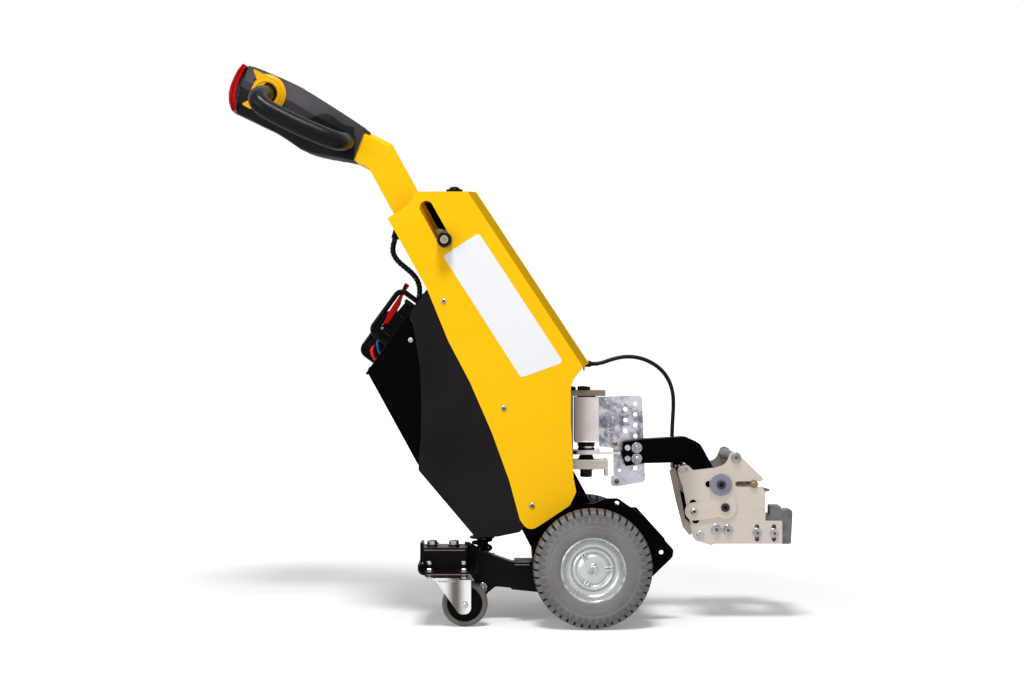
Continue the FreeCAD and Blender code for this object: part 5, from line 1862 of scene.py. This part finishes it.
# ---- coupling and hitch --------------------------------------------------------------------------
@dataclass
class Coupling:
    """The swinging tube, the drilled zinc plate and the black arm with their fasteners."""

    pivot_x: float = -6.6
    base_top: float = 513.4
    plate_y: float = 20.0
    arm_y: float = 20.0

    def pivot(self) -> None:
        """Add the bush, seals and bolt heads of the pivot."""
        shape = Shape()
        place = at(self.pivot_x, 0, 0)
        shape.lathe([(18.4, 377.8), (19.4, 378.4), (19.4, 381.6), (17, 382.6), (17, 385.4),
                     (19.8, 386.4), (19.8, 394), (18.6, 395.8)], place, UP, 56, 0)
        shape.lathe([(11, 355.6), (17.6, 355.6), (18.4, 357), (14.4, 365.6), (11, 365.6)],
                    place, UP, 48, 0, True)
        for y in (-14, 14):
            shape.fastener(Head.HEXAGON, at(-40, y, self.base_top), UP, 9.4, 7.6)
        shape.lathe([(11.2, 498.2), (20, 498.2), (20.6, 499), (20, 500.3), (11.2, 500.3)], place,
                    UP, 48, 0, True)
        shape.publish("pivot_seals", Paint.BLACK_OXIDE, "chassis")
        bolt = Shape()
        bolt.lathe([(9.6, 320), (9.6, 521)], place, UP, 40)
        bolt.fastener(Head.HEXAGON, at(self.pivot_x - 7.4, 0, self.base_top), UP, 12.6, 8.6)
        bolt.fastener(Head.HEXAGON, at(self.pivot_x, 0, 334), -UP, 13.6, 17.0, 18.4)
        bolt.publish("pivot_pin", Paint.BLACK_OXIDE, "chassis",
                     stands_for=["pivot_bolt"])

    def plate_bolts(self) -> None:
        """Add the nuts on the drilled plate and the bolts that hold the arm to it."""
        shape = Shape()
        for x, z in ((42.5, 479.3), (55.8, 446.7), (45.7, 413.3)):
            shape.fastener(Head.NUT, at(x, self.plate_y, z), NEAR, 8.6, 6.0, 11.8)
            shape.fastener(Head.HEXAGON, at(x, 32, z), -NEAR, 9.6, 6.0, 11.8)
        for z in (382.7, 358.0):
            shape.fastener(Head.NUT, at(107.3, -self.arm_y, z), NEAR, 8.8, 6.0, 12.2)
            shape.fastener(Head.HEXAGON, at(107.3, 26, z), -NEAR, 9.6, 6.0, 12.2)
        shape.publish("plate_bolts", Paint.PLATED, "coupling")
        small = Shape()
        for x, z in ((60.4, 389.2), (64.8, 303.0)):
            small.fastener(Head.BUTTON, at(x, self.plate_y, z), NEAR, 4.6, 2.6, 6.2, 0, 1)
        small.publish("plate_screws", [Paint.BRONZE, Paint.DARK_STEEL], "coupling")
        empty = Shape()
        for z in (382.7, 358.3):
            empty.lathe([(3.8, 0.1), (6.2, 0.1), (6.4, 0.6), (5.2, 0.8), (3.8, 0.5)],
                        at(86.8, -self.arm_y, z), NEAR, 32, 0, True)
            empty.lathe([(4.0, -1.2), (4.0, 0.25)], at(86.8, -self.arm_y, z), NEAR, 24, 0)
        empty.publish("arm_holes", Paint.ZINC, "coupling")

    def welds(self) -> None:
        """Lay the weld seams of the pivot tube and the arm's cross block."""
        uneven = beads(random.Random(5), 0.8, 0.35)
        shape = Shape()
        for y in (-27.5, 27.5):
            run = [at(x, y, 396.4) for x in range(-33, 21, 2)]
            shape.tube(run, 1.5, 8, swell=uneven)
        run = [at(21, y, 377.8) for y in range(-26, 27, 2)]
        shape.tube(run, 1.8, 8, swell=uneven)
        shape.publish("tube_welds", Paint.STAINLESS_UP, "coupling", smooth=70)

    def build(self) -> None:
        """Dress the coupling and add its fasteners."""
        dress(Paint.STAINLESS, "clevis_base", edge=1.2)
        # The clevis top's darker steel is painted shade.
        dress(Paint.DIM_STEEL, "clevis_top", edge=1.2)
        dress(Paint.STAINLESS_UP, "pivot_tube", edge=1.2)
        dress(Paint.ZINC, "hole_plate", edge=0.5)
        dress(Paint.FRAME, "arm", edge=1.0)
        self.pivot()
        self.plate_bolts()
        self.welds()


@dataclass
class Hitch:
    """The two stainless plates with the latch, the jaw and their pins and bolts."""

    plate_y: float = 90.0
    crank_y: float = 95.5
    disc: Pair = (288.7, 305.9)
    crank_pivot: Pair = (298.3, 255.1)
    crank_low: Pair = (229.0, 246.0)
    pin: Pair = (362.6, 306.5)
    slot_bolts: tuple = ((369.9, 198.6), (407.6, 197.5))
    coils: int = 11
    coil_radius: float = 5.2

    def plate_fasteners(self) -> None:
        """Add the bolts and pins that stay with the plates, and the crank's pivot screws and rod.
        """
        shape = Shape()
        for side in Side:
            out = side.out
            y = side.value * self.plate_y
            for x, z in ((278.9, 205.5), (304.7, 204.4), (322.7, 365.5)):
                shape.fastener(Head.SOCKET, at(x, y, z), out, 8.4, 6.5, 12.2, 0, 1)
            shape.fastener(Head.PIN, at(243.7, y, 194.1), out, 8.6, 3.0)
            for x, z in self.slot_bolts:
                shape.fastener(Head.SOCKET, at(x, y, z), out, 7.8, 6.5, 10.4, 0, 1)
        shape.publish("hitch_bolts", [Paint.PLATED, Paint.DIM_STEEL], "coupling",
                      smooth=32)
        caps = Shape()
        for side in Side:
            out = side.out
            place = at(self.crank_pivot[0], side.value * self.crank_y, self.crank_pivot[1])
            caps.fastener(Head.SOCKET, place, out, 9.6, 5.4, 0, 0, 1)
        caps.lathe([(6, -96), (6, 96)], at(self.crank_pivot[0], 0, self.crank_pivot[1]),
                   AXLE, 32)
        caps.publish("crank_screws", [Paint.DARK_STEEL, Paint.BLACK_OXIDE], "coupling",
                     smooth=32, stands_for=["crank_pivot"])

    def latch(self) -> None:
        """Add what turns with the crank and what slides with the latch bar."""
        disc_x, disc_z = self.disc
        pin_x, pin_z = self.pin
        shape = Shape()
        shape.lathe([(0, 6.3), (9, 6.3), (22.6, 6.6), (23.9, 6.3), (24.3, 5), (24.3, 0.2),
                     (23.6, -0.2)], at(disc_x, -self.crank_y, disc_z), NEAR, 72, 0)
        shape.fastener(Head.SOCKET, at(disc_x, -self.crank_y - 6, disc_z), NEAR, 9.8, 5.0, 0, 1, 2)
        shape.fastener(Head.BUTTON, at(self.crank_low[0], -self.crank_y, self.crank_low[1]),
                       NEAR, 8.2, 5.0, 0, 3, 1)
        # Dark discs of painted shade where holes show in the plate.
        for x, z, radius in ((262, 306.5, 7.2), (227.4, 264.4, 7.8), (233.0, 226.6, 7.8)):
            shape.lathe([(0, 0.35), (radius, 0.35), (radius, 0.12), (0, 0.12)],
                        at(x, -self.plate_y, z), NEAR, 32, 4)
        shape.publish("crank_fittings", [Paint.DISC, Paint.DARK_STEEL, Paint.BLACK_OXIDE,
                                         Paint.BRIGHT, Paint.HOLLOW], "latch",
                      smooth=32)
        ring = Shape()
        for side in Side:
            out = side.out
            y = side.value * (self.plate_y + 4.2)
            ring.fastener(Head.BUTTON, at(pin_x, y, pin_z), out, 6.4, 3.4)
            loop = [at(pin_x + 7.8 * math.cos(a), y + side.value * 0.8, pin_z + 7.8 * math.sin(a))
                    for a in (math.radians(20 + 10 * step) for step in range(33))]
            ring.tube(loop, 0.9, 8)
        ring.publish("latch_pin_rings", Paint.BRONZE, "latch_slide")

    def slots(self) -> None:
        """Line the slots, and add the strips and sheets of painted shade that show between the
        plates.
        """
        shape = Shape()
        for side in Side:
            y = side.value * self.plate_y
            corners = [(197.0, 331.0, 2), (215.4, 336.0, 2), (213.8, 343.4, 2),
                       (195.6, 338.6, 2)]
            inner = [(199.0, 333.0, 1), (211.4, 336.4, 1), (210.4, 341.2, 1),
                     (198.0, 337.8, 1)]
            # The slot rims in the darker steel are painted shade.
            shape.prism(corners, y - side.value * 0.5, y + side.value * 0.25, finish=1)
            shape.prism(inner, y - side.value * 0.5, y + side.value * 0.45)
        shape.prism([(383.6, 299.6, 1), (390.6, 297.4, 1), (398.6, 295, 2), (397.6, 291.4, 2),
                     (388.4, 289.4, 1), (384.6, 294, 1)], -90.6, -84.2, finish=2)
        # Sheets in the unlit finish are painted shade in the gaps between the plates.
        shape.block((356, 420), (-83.9, -82.4), (175, 219), 3)
        shape.prism([(212.0, 280), (214.0, 280), (226.8, 216), (223.8, 216)], -83.8, 44,
                    finish=3)
        shape.prism([(191, 325, 2), (206, 254), (222.5, 191, 8), (240, 170, 3), (248, 184, 3),
                     (228, 214), (207, 326, 3)], 81.6, 83.9)
        # More painted shade between the plates, in the unlit finish.
        shape.block((205, 211), (82.6, 83.9), (306, 329), 3, 3)
        shape.block((192, 212), (-6, 12), (336, 347), 3, 2)
        for x in (197.2, 205.4):
            shape.fastener(Head.PIN, at(x, -6, 341), NEAR, 3.0, 2.4)
        shape.publish("plate_slots", [Paint.STAINLESS, Paint.DIM_STEEL, Paint.JAW,
                                      Paint.HOLLOW], "coupling")

    def spring_and_core(self) -> None:
        """Add the latch spring, the tie's bolts and the jaw's screws."""
        shape = Shape()
        coil = []
        for share in share_of(150):
            turn = FULL_TURN * self.coils * share
            coil.append(at(236 + 44 * share, 52 + self.coil_radius * math.cos(turn),
                           276 + self.coil_radius * math.sin(turn)))
        shape.tube(coil, 0.9, 8)
        for y in (-46, 46):
            shape.fastener(Head.HEXAGON, at(249, y, 320), UP, 7.4, 5.0, 9.6)
        shape.publish("hitch_spring", Paint.BRIGHT, "coupling", smooth=60)
        bolts = Shape()
        for y in (-40, 0, 40):
            for z in (192, 232):
                bolts.fastener(Head.SOCKET, at(448, y, z), FORWARD, 5.0, 1.8)
        bolts.publish("jaw_screws", Paint.BLACK_OXIDE, "coupling")

    def build(self) -> None:
        """Dress the hitch and add its parts."""
        dress(Paint.STAINLESS, "hitch_plate_right", "crank_right", "hitch_tie", edge=0.9)
        dress(Paint.SHADED_STEEL, "hitch_plate_left", edge=0.9)
        dress(Paint.JAW, "jaw", "ear_tube", edge=1.0)
        dress(Paint.DIM_STEEL, "latch_bar", edge=0.5)
        self.plate_fasteners()
        self.latch()
        self.slots()
        self.spring_and_core()


def main() -> None:
    """Build the scene: camera and cords first, then each sub-assembly."""
    logging.basicConfig(level=logging.INFO, format="%(name)s: %(message)s")
    studio = Studio()
    studio.camera()
    Cables().build()
    for assembly in (MainWheels(), DriveFrame(), RearCarriage(), Covers(), BatteryBox(),
                     Tiller(), Coupling(), Hitch()):
        assembly.build()
        LOG.info("built %s", type(assembly).__name__)
    studio.build()


if __name__ == "__main__":
    main()
